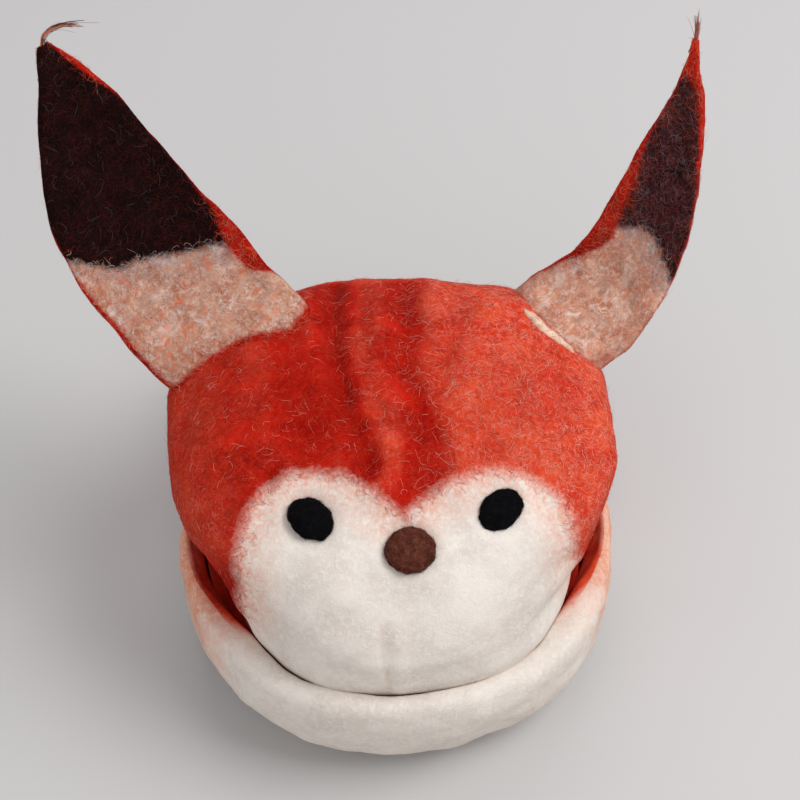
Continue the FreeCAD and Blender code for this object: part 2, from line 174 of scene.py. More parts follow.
# Ears. Three corners: inner and outer root, and tip. Stations: distance up,
# inner edge, outer edge, depth of the cup. dark_from: across, and how far up
# the dark tip starts there. red_inner and red_outer: distance up, width of
# the red edge. curl: distance up, how far the inner edge curls forward. wisp:
# path of the tuft at the tip. flare: how far the root leans forward over the
# head, as a curve from inner to outer edge. root_red: width of the red felt
# round the root
LEFT_EAR = {
    "inner": (-26.5, 73.4, 101.0), "outer": (-69.0, 48.8, 89.7),
    "tip": (-99.4, 100.0, 191.2),
    "stations": np.array([
        (-12.0, -23.0, 22.0, 0.0), (1.0, -25.4, 26.6, 0.4), (10.0, -23.6, 28.8, 1.4),
        (17.0, -21.9, 30.0, 2.2), (24.0, -21.3, 30.9, 2.8), (43.0, -18.4, 32.4, 4.2),
        (50.0, -16.2, 32.3, 4.5), (60.0, -15.2, 31.4, 4.6), (76.0, -12.9, 26.6, 3.8),
        (90.0, -11.0, 18.9, 2.4), (103.0, -7.9, 10.4, 1.0), (111.0, -4.4, 4.9, 0.3),
        (115.5, -1.9, 1.5, 0.1)]),
    "dark_from": np.array([(-30.0, 17.0), (-19.3, 24.0), (-11.9, 32.6), (-7.4, 34.0),
                           (0.0, 36.5), (8.5, 41.2), (20.9, 46.2), (27.7, 54.0),
                           (34.0, 60.0)]),
    "red_inner": np.array([(-12.0, -1.0), (8.0, -0.6), (15.0, 0.8), (21.0, 5.6),
                           (29.0, 6.4), (37.0, 4.4), (46.0, 1.2), (60.0, 0.0),
                           (85.0, -0.3), (97.0, 1.2), (106.0, 1.8), (116.0, 0.0)]),
    "red_outer": np.array([(-12.0, 1.2), (10.0, 1.4), (30.0, 1.6), (45.0, 1.3),
                           (56.0, 0.3), (75.0, -0.6), (116.0, -0.6)]),
    "curl": np.array([(-6.0, 0.0), (12.0, 0.0), (24.0, 2.6), (36.0, 3.0),
                      (52.0, 1.2), (70.0, 0.4), (116.0, 0.0)]),
    "wisp": [(-99.3, 99.6, 189.6), (-99.0, 100.4, 193.0), (-96.4, 100.8, 196.0),
             (-91.6, 100.6, 197.8), (-86.0, 100.0, 197.6)],
    "flare": (11.2, -4.4, -5.5),
    "wisp_count": 60,
    "root_red": 1.8,
    "seed": 11,
}
RIGHT_EAR = {
    "inner": (44.0, 88.0, 90.0), "outer": (72.5, 49.4, 82.9),
    "tip": (103.0, 105.0, 182.0),
    "stations": np.array([
        (-12.0, -20.0, 22.0, 0.0), (1.0, -18.0, 26.4, 0.4), (10.0, -13.4, 30.4, 1.4),
        (21.0, -6.2, 33.0, 3.2), (29.0, -1.2, 33.8, 4.2), (36.5, 1.3, 33.8, 4.8),
        (46.0, 2.7, 33.0, 4.8), (59.0, 3.6, 30.4, 4.2), (72.0, 4.1, 25.4, 3.2),
        (84.0, 4.6, 19.4, 2.0), (92.0, 5.3, 15.2, 1.2), (100.0, 4.8, 8.9, 0.5),
        (107.0, 2.9, 5.0, 0.2)]),
    "dark_from": np.array([(-20.0, 10.0), (1.0, 31.0), (3.4, 37.0), (9.4, 42.2),
                           (16.2, 45.2), (21.2, 43.8), (28.4, 40.2), (36.0, 33.0)]),
    "red_inner": np.array([(-12.0, -0.5), (8.0, 0.3), (18.0, 1.2), (27.0, 3.2),
                           (36.0, 6.2), (44.0, 5.0), (56.0, 3.8), (64.0, 2.6),
                           (74.0, 1.0), (88.0, 0.6), (96.0, 1.4), (108.0, 6.0)]),
    "red_outer": np.array([(-12.0, 0.0), (30.0, 0.0), (60.0, 0.2), (80.0, 1.0),
                           (92.0, 3.0), (98.0, 6.0), (108.0, 8.0)]),
    "curl": np.array([(-8.0, 0.0), (10.0, 1.0), (28.0, 3.0), (44.0, 3.6),
                      (62.0, 2.4), (80.0, 0.8), (108.0, 0.0)]),
    "wisp": [(103.9, 101.0, 176.6), (104.0, 101.8, 179.4), (104.0, 102.8, 182.4),
             (103.8, 103.6, 185.4)],
    "flare": (24.0, 1.0, -21.0),
    "wisp_count": 34,
    "root_red": 0.4,
    "seed": 23,
}
# Thickness of the felt of the ears, and the range of their fibres' radius
EAR_FELT = 4.6
EAR_FIBRE = (0.024, 0.046)

# Smoky, orange and milky swirls in the tan of the ears: scale, warp, shift,
# the noise where they fade in, the noise where they are full, amount, colour
EAR_SWIRLS = ((95.0, 1.6, 0.15, 0.54, 0.72, 0.55, (0.34, 0.22, 0.18)),
              (110.0, 1.8, 0.65, 0.54, 0.70, 0.75, (0.60, 0.15, 0.06)),
              (90.0, 1.8, 0.35, 0.56, 0.74, 0.60, (0.78, 0.68, 0.62)))

EAR_RIDGE = [(46.4, 66.0, 99.6), (48.4, 60.5, 100.4), (51.0, 55.6, 100.5),
             (54.5, 52.0, 99.6), (58.4, 48.4, 98.0), (61.6, 46.0, 96.0)]

# Colours, linear
# Painted shade: the deep red laid into the crease valleys of the crown
RED_PAINTED_SHADE = (0.19, 0.003, 0.0015)
RED_DEEP = (0.24, 0.003, 0.0015)
RED = (0.44, 0.009, 0.0035)
ORANGE = (0.72, 0.085, 0.030)
PINK = (0.58, 0.065, 0.038)
CREAM = (0.76, 0.69, 0.62)
CREAM_SHADE = (0.66, 0.58, 0.52)
WHITE = (0.80, 0.75, 0.70)
BLACK = (0.0022, 0.0022, 0.0028)
DARK = (0.005, 0.002, 0.002)
MOUTH = (0.20, 0.010, 0.006)
GREY = (0.30, 0.28, 0.30)


# Rows and columns of the grids that the skins are made of
HEAD_GRID = (112, 264)
JAW_GRID = (92, 288)
PALATE_GRID = (44, 120)
BUTTON_GRID = (36, 72)
EAR_GRID = (150, 64)
SLEEVE_GRID = (70, 200)
FIBRE_STEPS = 6
WISP_STEPS = 14

# Studio, in metres: lights are name, place, size and power
PAPER = (0.53, 0.515, 0.51)
PAPER_HEIGHT = -0.0004
SKY = (0.95, 0.97, 1.0)
SKY_STRENGTH = 0.43
LIGHTS = (("key", (0.75, -0.15, 1.05), 0.8, 12.0),
          ("fill", (-0.55, -0.90, 0.75), 1.4, 5.0),
          ("back", (0.10, 0.80, 1.00), 0.9, 4.0))
LIGHT_AIM = (0.0, 0.03, 0.07)
CAMERA_TARGET = (0.0035, 0.036, 0.090)
CAMERA_DISTANCE = 0.620
CAMERA_AZIMUTH = math.radians(-5.5)
CAMERA_ELEVATION = math.radians(48.0)
CAMERA_ANGLE = math.radians(23.6)


# ---- Shape tools

def dot(first, second):
    return np.sum(first * second, -1)


def unit(vectors):
    size = np.linalg.norm(vectors, axis=-1, keepdims=True)
    return vectors / np.maximum(size, 1e-12)


def smooth(knots, values, where):
    """A curve through the values that never overshoots them."""
    knots = np.asarray(knots, float)
    values = np.asarray(values, float)
    gaps = np.diff(knots)
    slopes = np.diff(values) / gaps
    ends = np.zeros_like(values)
    same = slopes[:-1] * slopes[1:] > 0.0
    total = np.where(same, slopes[:-1] + slopes[1:], 1.0)
    ends[1:-1] = np.where(same, 2.0 * slopes[:-1] * slopes[1:] / total, 0.0)
    ends[0] = slopes[0]
    ends[-1] = slopes[-1]
    index = np.clip(np.searchsorted(knots, where) - 1, 0, len(gaps) - 1)
    share = (where - knots[index]) / gaps[index]
    share = np.clip(share, 0.0, 1.0)
    rest = 1.0 - share
    return (values[index] * (1.0 + 2.0 * share) * rest ** 2
            + values[index + 1] * (3.0 - 2.0 * share) * share ** 2
            + ends[index] * gaps[index] * share * rest ** 2
            - ends[index + 1] * gaps[index] * rest * share ** 2)


def smooth_path(points, where):
    """Points along a smooth path; where runs from 0 to 1."""
    points = np.asarray(points, float)
    lengths = np.linalg.norm(np.diff(points, axis=0), axis=1)
    knots = np.concatenate([[0.0], np.cumsum(lengths)]) / lengths.sum()
    return np.stack([smooth(knots, points[:, axis], where) for axis in range(3)], -1)


def fine_path(points):
    return smooth_path(points, np.linspace(0.0, 1.0, 30))


def step_up(value, low, high):
    share = np.clip((value - low) / (high - low), 0.0, 1.0)
    return share * share * (3.0 - 2.0 * share)


def bell(value, width, middle=0.0):
    """1 at the middle, falling off on both sides."""
    return np.exp(-((value - middle) / width) ** 2)


def waves(points, size, seed, count=26):
    """Smooth noise, about -1 to 1, with lumps of roughly this size."""
    rng = np.random.default_rng(seed)
    direction = unit(rng.normal(size=(count, 3)))
    length = size * rng.uniform(0.75, 1.7, count)
    phase = rng.uniform(0.0, 2.0 * math.pi, count)
    turns = 2.0 * math.pi * points @ (direction / length[:, None]).T
    return np.sin(turns + phase).sum(-1) / math.sqrt(count)


def distance_to_path(points, path):
    """Distance from points to a polyline."""
    flat = points.reshape(-1, 3)
    best = np.full(len(flat), 1e9)
    path = np.asarray(path, float)
    for start, end in zip(path, path[1:]):
        along = end - start
        share = np.clip((flat - start) @ along / (along @ along), 0.0, 1.0)
        gap = np.linalg.norm(flat - start - share[:, None] * along, axis=1)
        best = np.minimum(best, gap)
    return best.reshape(points.shape[:-1])


def polygon_depth(x, y, polygon):
    """Signed distance inside a polygon in a plane."""
    inside = np.zeros(x.shape, bool)
    nearest = np.full(x.shape, 1e9)
    for (ax, ay), (bx, by) in zip(polygon, np.roll(polygon, -1, 0)):
        crosses = (ay > y) != (by > y)
        slope = (bx - ax) / (by - ay if by != ay else 1e-9)
        inside ^= crosses & (x < ax + (y - ay) * slope)
        dx, dy = bx - ax, by - ay
        share = np.clip(((x - ax) * dx + (y - ay) * dy) / (dx * dx + dy * dy), 0.0, 1.0)
        nearest = np.minimum(nearest, np.hypot(x - ax - share * dx, y - ay - share * dy))
    return np.where(inside, nearest, -nearest)


def around(count):
    return np.linspace(0.0, 2.0 * math.pi, count, endpoint=False)


def signed_power(value, exponent):
    return np.sign(value) * np.abs(value) ** exponent


def ring_point(angle, middle, half_width, front, back, front_square, back_square):
    across = np.cos(angle)
    along = np.sin(angle)
    power = 2.0 / np.where(along < 0.0, front_square, back_square)
    reach = np.where(along < 0.0, middle - front, back - middle)
    return half_width * signed_power(across, power), middle + reach * signed_power(along, power)


def even_angles(count, half_width, front, back, middle):
    """Angles that space points evenly round a ring, starting at the back."""
    dense = np.linspace(0.0, 2.0 * math.pi, 7201) + 0.5 * math.pi
    x, y = ring_point(dense, middle, half_width, front, back, 2.2, 2.4)
    walked = np.concatenate([[0.0], np.cumsum(np.hypot(np.diff(x), np.diff(y)))])
    return np.interp(np.arange(count) / count * walked[-1], walked, dense)


# ---- Meshes

def make_object(name, points, quads, triangles, materials, slots=None, values=None):
    mesh = bpy.data.meshes.new(name)
    mesh.vertices.add(len(points))
    mesh.vertices.foreach_set("co", (np.asarray(points) * MM).astype(np.float32).ravel())
    quads = np.asarray(quads, np.int32).reshape(-1, 4)
    triangles = np.asarray(triangles, np.int32).reshape(-1, 3)
    corners = np.concatenate([quads.ravel(), triangles.ravel()])
    starts = np.concatenate([np.arange(len(quads)) * 4,
                             len(quads) * 4 + np.arange(len(triangles)) * 3])
    mesh.loops.add(len(corners))
    mesh.loops.foreach_set("vertex_index", corners)
    mesh.polygons.add(len(starts))
    mesh.polygons.foreach_set("loop_start", starts.astype(np.int32))
    for material in materials:
        mesh.materials.append(material)
    if slots is not None:
        mesh.polygons.foreach_set("material_index", np.asarray(slots, np.int32))
    mesh.update(calc_edges=True)
    mesh.polygons.foreach_set("use_smooth", np.ones(len(starts), bool))
    for key, data in (values or {}).items():
        attribute = mesh.attributes.new(key, "FLOAT", "POINT")
        attribute.data.foreach_set("value", np.asarray(data, np.float32).ravel())
    mesh.validate()
    mesh.update()
    made = bpy.data.objects.new(name, mesh)
    bpy.context.scene.collection.objects.link(made)
    return made


class Sheet:
    """Felt between an outside and an inside grid of points."""

    def __init__(self, outside, inside, wrap, keep=None, cap_first=False, cap_last=False):
        self.outside = outside
        self.inside = inside
        self.wrap = wrap
        self.cap_first = cap_first
        self.cap_last = cap_last
        rows, columns = outside.shape[:2]
        cells = (rows - 1, columns if wrap else columns - 1)
        self.keep = np.ones(cells, bool) if keep is None else keep
        self.along, self.across, self.normal = self.directions(outside)
        facing = np.sum(self.normal * (outside - inside))
        self.sign = 1.0 if facing > 0.0 else -1.0
        self.normal = self.normal * self.sign

    def directions(self, grid):
        along = np.gradient(grid, axis=0)
        if self.wrap:
            across = 0.5 * (np.roll(grid, -1, 1) - np.roll(grid, 1, 1))
        else:
            across = np.gradient(grid, axis=1)
        return along, across, unit(np.cross(across, along))

    def build(self, name, materials, values=None):
        rows, columns = self.outside.shape[:2]
        number = np.arange(rows * columns).reshape(rows, columns)
        right = np.roll(number, -1, 1) if self.wrap else number[:, 1:]
        left = number if self.wrap else number[:, :-1]
        a, b, c, d = left[:-1], right[:-1], right[1:], left[1:]
        keep = self.keep
        inner = rows * columns
        outer_quads = np.stack([a[keep], b[keep], c[keep], d[keep]], 1)
        quads = [outer_quads, outer_quads[:, ::-1] + inner]

        above = np.zeros_like(keep)
        above[1:] = keep[:-1]
        above[0] = self.cap_first
        below = np.zeros_like(keep)
        below[:-1] = keep[1:]
        below[-1] = self.cap_last
        after = np.zeros_like(keep)
        before = np.zeros_like(keep)
        if self.wrap:
            after[:] = np.roll(keep, -1, 1)
            before[:] = np.roll(keep, 1, 1)
        else:
            after[:, :-1] = keep[:, 1:]
            before[:, 1:] = keep[:, :-1]
        for near, first, second in ((above, a, b), (after, b, c), (below, c, d), (before, d, a)):
            rim = keep & ~near
            p, q = first[rim], second[rim]
            quads.append(np.stack([q, p, p + inner, q + inner], 1))

        points = [self.outside.reshape(-1, 3), self.inside.reshape(-1, 3)]
        triangles = []
        extra = {}
        total = 2 * inner
        for wanted, row, forward in ((self.cap_first, 0, False), (self.cap_last, -1, True)):
            if not wanted:
                continue
            p, q = left[row], right[row]
            if not forward:
                p, q = q, p
            points.append(np.stack([self.outside[row].mean(0), self.inside[row].mean(0)]))
            triangles.append(np.stack([p, q, np.full_like(p, total)], 1))
            triangles.append(np.stack([q + inner, p + inner, np.full_like(p, total + 1)], 1))
            extra[row] = total
            total += 2
        quads = np.concatenate(quads)
        triangles = np.concatenate(triangles) if triangles else np.zeros((0, 3), int)
        if self.sign < 0.0:
            quads = quads[:, ::-1]
            triangles = triangles[:, ::-1]
        data = {}
        for key, (front, back) in (values or {}).items():
            parts = [front.ravel(), back.ravel()]
            for row in extra:
                parts.append(np.array([front[row].mean(), back[row].mean()]))
            data[key] = np.concatenate(parts)
        points = np.concatenate(points)
        used = np.zeros(len(points), bool)
        used[quads.ravel()] = True
        used[triangles.ravel()] = True
        order = np.cumsum(used) - 1
        return make_object(name, points[used], order[quads], order[triangles], materials,
                           values={key: value[used] for key, value in data.items()})

    def at(self, row, column):
        """Place, directions and normal at fractional grid positions."""
        rows, columns = self.outside.shape[:2]
        row = np.clip(row, 0.0, rows - 1.001)
        i = row.astype(int)
        s = (row - i)[:, None]
        if self.wrap:
            column = np.mod(column, columns)
            j = column.astype(int) % columns
            k = (j + 1) % columns
        else:
            column = np.clip(column, 0.0, columns - 1.001)
            j = column.astype(int)
            k = j + 1
        t = (column - np.floor(column))[:, None]

        def mixed(grid):
            low = grid[i, j] * (1.0 - t) + grid[i, k] * t
            high = grid[i + 1, j] * (1.0 - t) + grid[i + 1, k] * t
            return low * (1.0 - s) + high * s

        return (mixed(self.outside), mixed(self.along), mixed(self.across),
                unit(mixed(self.normal)))


def outward(points, centre):
    """Normals of a closed ring of points, away from a place inside it."""
    return Sheet(points, points + 0.001 * (np.array(centre) - points), True).normal


def rounded_wall(outside, normal, wall, edge_distance, radius=None):
    """Outside and inside grids of a wall whose free edge is rounded."""
    radius = 0.5 * wall if radius is None else radius
    near = np.clip(edge_distance / radius, 0.0, 1.0)
    share = np.sqrt(np.maximum(1.0 - (1.0 - near) ** 2, 0.004))[..., None]
    middle = outside - normal * 0.5 * wall
    return middle + normal * 0.5 * wall * share, middle - normal * 0.5 * wall * share


def tubes(paths, radii, sides=3):
    """Closed thin tubes along many paths at once: (count, steps, 3)."""
    count, steps = paths.shape[:2]
    tangent = unit(np.gradient(paths, axis=1))
    helper = np.where(np.abs(tangent[..., 2:3]) < 0.9, np.array([0.0, 0.0, 1.0]),
                      np.array([1.0, 0.0, 0.0]))
    side = unit(np.cross(tangent, helper))
    other = np.cross(tangent, side)
    turn = 2.0 * math.pi * np.arange(sides) / sides
    ring = (side[:, :, None] * np.cos(turn)[:, None] + other[:, :, None] * np.sin(turn)[:, None])
    points = paths[:, :, None] + ring * radii[..., None, None]
    number = np.arange(count * steps * sides).reshape(count, steps, sides)
    nxt = np.roll(number, -1, 2)
    quads = np.stack([number[:, :-1], nxt[:, :-1], nxt[:, 1:], number[:, 1:]], -1)
    first = number[:, 0, ::-1]
    last = number[:, -1]
    fans = [np.stack([end[:, 0], end[:, k], end[:, k + 1]], -1)
            for end in (first, last) for k in range(1, sides - 1)]
    return points.reshape(-1, 3), quads.reshape(count, -1, 4), np.stack(fans, 1)


def tube_object(name, paths, radii, materials, shares, seed, sides=3):
    """Many fibres as one mesh, each in one of the materials."""
    rng = np.random.default_rng(seed)
    count = len(paths)
    points, quads, fans = tubes(paths, radii, sides)
    pick = rng.choice(len(materials), count, p=np.array(shares) / sum(shares))
    slots = np.concatenate([np.repeat(pick, quads.shape[1]), np.repeat(pick, fans.shape[1])])
    return make_object(name, points, quads.reshape(-1, 4), fans.reshape(-1, 3), materials, slots)


def fuzz(name, sheet, count, materials, shares, seed, weight=None, length=(4.0, 9.0),
         radius=(0.024, 0.044), lift=0.30, stray=0.07, stray_lift=1.3, curl=0.28):
    """Loose wool fibres lying over a sheet of felt."""
    rng = np.random.default_rng(seed)
    along, across = sheet.along, sheet.across
    area = np.linalg.norm(np.cross(along, across), axis=-1)
    area = area[:-1, :sheet.keep.shape[1]] * sheet.keep
    if weight is not None:
        area = area * weight[:-1, :sheet.keep.shape[1]]
    chance = area.ravel() / area.sum()
    cell = rng.choice(chance.size, count, p=chance)
    row = cell // area.shape[1] + rng.uniform(size=count)
    column = cell % area.shape[1] + rng.uniform(size=count)
    size = rng.uniform(*length, count)
    angle = rng.uniform(0.0, 2.0 * math.pi, count)
    bend = rng.normal(0.0, curl, count)
    free = rng.uniform(size=count) < stray
    height = lift * rng.uniform(0.3, 1.3, count)
    height[free] = stray_lift * rng.uniform(0.4, 1.3, free.sum())
    spots = []
    for step in range(FIBRE_STEPS + 1):
        place, along, across, normal = sheet.at(row, column)
        share = step / FIBRE_STEPS
        arch = math.sin(math.pi * (0.06 + 0.88 * share))
        rise = np.where(free, share ** 1.4, arch) * height - 0.12
        spots.append(place + normal * rise[:, None])
        first = unit(across)
        second = np.cross(normal, first)
        move = (first * np.cos(angle)[:, None] + second * np.sin(angle)[:, None])
        move = move * (size / FIBRE_STEPS)[:, None]
        aa, bb, ab = dot(along, along), dot(across, across), dot(along, across)
        ma, mb = dot(move, along), dot(move, across)
        scale = np.maximum(aa * bb - ab * ab, 1e-6)
        row = row + np.clip((ma * bb - mb * ab) / scale, -4.0, 4.0)
        column = column + np.clip((mb * aa - ma * ab) / scale, -4.0, 4.0)
        angle = angle + bend + rng.normal(0.0, 0.5 * curl, count)
    paths = np.stack(spots, 1)
    thin = 1.0 - 0.55 * np.abs(np.linspace(-1.0, 1.0, FIBRE_STEPS + 1)) ** 3
    radii = rng.uniform(*radius, count)[:, None] * thin[None]
    return tube_object(name, paths, radii, materials, shares, seed + 1)


# ---- Materials

class Felt:
    """A node material in the making."""

    def __init__(self, name, roughness=0.95, sheen=0.03, sheen_tint=(1.0, 0.75, 0.65),
                 specular=0.02):
        self.material = bpy.data.materials.new(name)
        self.material.use_nodes = True
        self.tree = self.material.node_tree
        self.shader = self.tree.nodes["Principled BSDF"]
        self.shader.inputs["Roughness"].default_value = roughness
        self.shader.inputs["Specular IOR Level"].default_value = specular
        self.shader.inputs["Sheen Weight"].default_value = sheen
        self.shader.inputs["Sheen Roughness"].default_value = 0.45
        self.shader.inputs["Sheen Tint"].default_value = (*sheen_tint, 1.0)
        self.coordinates = self.add("ShaderNodeTexCoord").outputs["Object"]

    def add(self, kind, **settings):
        node = self.tree.nodes.new(kind)
        for key, value in settings.items():
            setattr(node, key, value)
        return node

    def feed(self, socket, value):
        if isinstance(value, bpy.types.NodeSocket):
            self.tree.links.new(value, socket)
        elif isinstance(value, tuple) and len(value) == 3 and socket.type == "RGBA":
            socket.default_value = (*value, 1.0)
        else:
            socket.default_value = value

    def noise(self, scale, detail=2.0, warp=0.0, shift=0.0, roughness=0.55):
        moved = self.add("ShaderNodeMapping")
        self.feed(moved.inputs["Vector"], self.coordinates)
        moved.inputs["Location"].default_value = (shift, 1.7 * shift, -0.9 * shift)
        node = self.add("ShaderNodeTexNoise")
        self.feed(node.inputs["Vector"], moved.outputs["Vector"])
        node.inputs["Scale"].default_value = scale
        node.inputs["Detail"].default_value = detail
        node.inputs["Roughness"].default_value = roughness
        node.inputs["Distortion"].default_value = warp
        return node.outputs["Fac"]

    def range(self, value, low, high, to_low=0.0, to_high=1.0):
        node = self.add("ShaderNodeMapRange")
        self.feed(node.inputs["Value"], value)
        for key, amount in (("From Min", low), ("From Max", high),
                            ("To Min", to_low), ("To Max", to_high)):
            node.inputs[key].default_value = amount
        return node.outputs["Result"]

    def math(self, operation, first, second=0.0):
        node = self.add("ShaderNodeMath", operation=operation)
        self.feed(node.inputs[0], first)
        self.feed(node.inputs[1], second)
        return node.outputs[0]

    def times(self, first, second):
        return self.math("MULTIPLY", first, second)

    def mix(self, factor, first, second):
        node = self.add("ShaderNodeMix", data_type="RGBA")
        self.feed(node.inputs["Factor"], factor)
        self.feed(node.inputs["A"], first)
        self.feed(node.inputs["B"], second)
        return node.outputs["Result"]

    def stain(self, colour, tone, where, amount):
        """A colour with some of another tone where the mask is 1."""
        return self.mix(self.times(where, amount), colour, tone)

    def value(self, name):
        return self.add("ShaderNodeAttribute", attribute_name=name).outputs["Fac"]

    def threads(self, scale, width, warp=1.2, shift=0.0):
        """Thin curly lines, like fibres felted into the surface."""
        centred = self.math("SUBTRACT", self.noise(scale, 1.5, warp, shift), 0.5)
        return self.range(self.math("ABSOLUTE", centred), 0.0, width, 1.0, 0.0)

    def wool(self, deep, middle, pale, fibre, shift=0.0, strength=0.55, blotch=90.0):
        """Blotches of two tones, grain, and paler fibres over them."""
        patches = self.range(self.noise(blotch, 4.0, 0.4, shift + 0.11), 0.36, 0.64)
        colour = self.mix(patches, deep, middle)
        speckle = self.range(self.noise(620.0, 3.0, 0.6, shift + 0.23), 0.47, 0.68)
        colour = self.stain(colour, pale, speckle, 0.55)
        for index, (scale, width) in enumerate(((210.0, 0.018), (330.0, 0.022),
                                                (150.0, 0.012))):
            line = self.threads(scale, width, 1.6, shift + 0.31 * (index + 1))
            broken = self.range(self.noise(120.0, 2.0, 0.0, shift + 0.57 + index), 0.44, 0.60)
            colour = self.stain(colour, fibre, self.times(line, broken), strength)
        return colour

    def border(self, name, wobble=2.2, soft=1.4, shift=0.0, scale=420.0):
        """0 on one side of an edge and 1 on the other, ragged like felted wool."""
        ragged = self.math("SUBTRACT", self.noise(scale, 3.0, 1.5, shift), 0.5)
        broad = self.math("SUBTRACT", self.noise(95.0, 2.0, 0.3, shift + 0.4), 0.5)
        push = self.math("ADD", self.times(ragged, 2.0 * wobble),
                         self.times(broad, 1.6 * wobble))
        return self.range(self.math("ADD", self.value(name), push), -soft, soft)

    def finish(self, colour, bump=0.40, height=0.0004):
        fine = self.noise(900.0, 3.0, 0.8, 0.9)
        lines = self.threads(260.0, 0.05, 1.6, 0.77)
        lumps = self.noise(240.0, 2.0, 0.5, 0.35)
        both = self.math("ADD", self.times(fine, 0.7), self.times(lines, 0.35))
        both = self.math("ADD", both, self.times(lumps, 0.8))
        node = self.add("ShaderNodeBump")
        node.inputs["Strength"].default_value = bump
        node.inputs["Distance"].default_value = height
        self.feed(node.inputs["Height"], both)
        self.feed(self.shader.inputs["Normal"], node.outputs["Normal"])
        self.feed(self.shader.inputs["Base Color"], colour)
        return self.material


def fibre_material(name, colour, sheen=0.05):
    felt = Felt(name, roughness=0.8, sheen=sheen, specular=0.08)
    felt.shader.inputs["Base Color"].default_value = (*colour, 1.0)
    return felt.material


def fibre_materials(name, *colours):
    return [fibre_material("%s_%d" % (name, k), colour) for k, colour in enumerate(colours)]


def red_felt(felt, shift=0.0):
    return felt.wool(RED_DEEP, RED, (0.52, 0.018, 0.006), PINK, shift, 0.40)


def cream_felt(felt, shift=0.0):
    return felt.wool(CREAM_SHADE, CREAM, WHITE, WHITE, shift, 0.25, 70.0)


def head_material():
    felt = Felt("fox_head_felt")
    red = red_felt(felt)
    # Painted light: where the attribute is above 0, a lit orange copy of the red on the right side,
    # the top, the far left edge and the crease ridges; where it is below 0, painted shade of deep
    # red in the crease valleys; a little of it is random tone
    painted_highlight_and_tone = felt.range(felt.value("painted_light_and_tone"), 0.0, 1.0)
    painted_lit_red = felt.wool((0.58, 0.030, 0.010), ORANGE, (0.82, 0.20, 0.12), (0.86, 0.42, 0.34),
                           0.45, 0.55)
    red = felt.stain(red, painted_lit_red, painted_highlight_and_tone, 0.75)
    painted_shade_and_tone = felt.range(felt.value("painted_light_and_tone"), 0.0, -1.0)
    red = felt.stain(red, RED_PAINTED_SHADE, painted_shade_and_tone, 0.75)
    cream = cream_felt(felt, 0.2)
    tint = felt.range(felt.value("face_mm"), 15.0, 0.0)
    grain = felt.range(felt.noise(430.0, 5.0, 1.2, 0.8), 0.30, 0.68)
    cream = felt.stain(cream, (0.70, 0.28, 0.18), felt.times(tint, grain), 0.95)
    # Painted shade: a tan line along the muzzle crease
    crease_painted_shade = felt.range(felt.value("muzzle_mm"), 1.3, 0.2)
    cream = felt.stain(cream, (0.62, 0.42, 0.28), crease_painted_shade, 0.5)
    colour = felt.mix(felt.border("face_mm", 1.9, 2.4, 0.4), red, cream)
    return felt.finish(colour)


def jaw_material():
    felt = Felt("fox_jaw_felt")
    cream = cream_felt(felt, 0.4)
    red = red_felt(felt, 0.1)
    peach = felt.wool((0.70, 0.17, 0.07), (0.76, 0.38, 0.24), (0.80, 0.56, 0.44), WHITE, 0.6)
    blush = felt.border("blush_mm", 5.0, 6.0, 0.3, 170.0)
    colour = felt.stain(cream, peach, blush, 0.9)
    colour = felt.mix(felt.border("back_mm", 2.5, 5.0, 0.7), colour, red)
    # The red lining inside the rim: its own red felt, made brighter near the rim as painted light
    # and turned to the dark mouth red deeper in as painted shade
    lining = felt.wool((0.46, 0.022, 0.010), (0.72, 0.075, 0.028), ORANGE, ORANGE, 0.6)
    colour = felt.mix(felt.border("lining_mm", 1.4, 3.2, 0.4, 170.0), colour, lining)
    deep = felt.range(felt.value("lining_mm"), 5.5, 12.0)
    colour = felt.mix(deep, colour, MOUTH)
    return felt.finish(colour)


def ear_material(name, dark, dark_middle, dark_pale, dark_fibre, strength, painted_light_gain):
    felt = Felt(name, sheen=0.02)
    tones = ((0.44, 0.16, 0.09), (0.58, 0.30, 0.20), (0.74, 0.56, 0.47), (0.76, 0.64, 0.57))
    # Painted light: the tan is scaled by one number per ear, darker on the left ear and lighter on
    # the right, as the light falls
    deep, middle, pale, fibre = (tuple(painted_light_gain * part for part in tone) for tone in tones)
    tan = felt.wool(deep, middle, pale, fibre, 0.3, 0.65, 150.0)
    for scale, warp, shift, low, high, amount, tone in EAR_SWIRLS:
        swirl = felt.range(felt.noise(scale, 4.0, warp, shift), low, high)
        tan = felt.stain(tan, tone, swirl, amount)
    near = felt.range(felt.value("dark_mm"), -10.0, 0.0)
    wisps = felt.range(felt.noise(300.0, 3.0, 1.8, 0.45), 0.42, 0.62)
    tan = felt.stain(tan, GREY, felt.times(near, wisps), 0.8)
    night = felt.wool(dark, dark_middle, dark_pale, dark_fibre, 0.5, strength, 110.0)
    colour = felt.mix(felt.border("dark_mm", 2.4, 1.6, 0.2), tan, night)
    colour = felt.mix(felt.border("red_mm", 0.8, 0.7, 0.6), colour, red_felt(felt, 0.8))
    return felt.finish(colour)


def plain_felt(name, deep, middle, pale, fibre, strength=0.5, blotch=160.0, **settings):
    felt = Felt(name, **settings)
    return felt.finish(felt.wool(deep, middle, pale, fibre, 0.0, strength, blotch))


# ---- Felted surface relief, shared by all the skins

def relief(points, seed, lump=1.0):
    """Height of the felt above its smooth shape."""
    return (lump * 0.55 * waves(points, 30.0, seed) + 0.22 * waves(points, 12.0, seed + 1)
            + 0.05 * waves(points, 5.0, seed + 2, 40) + 0.03 * waves(points, 2.6, seed + 3, 60))


# ---- Head

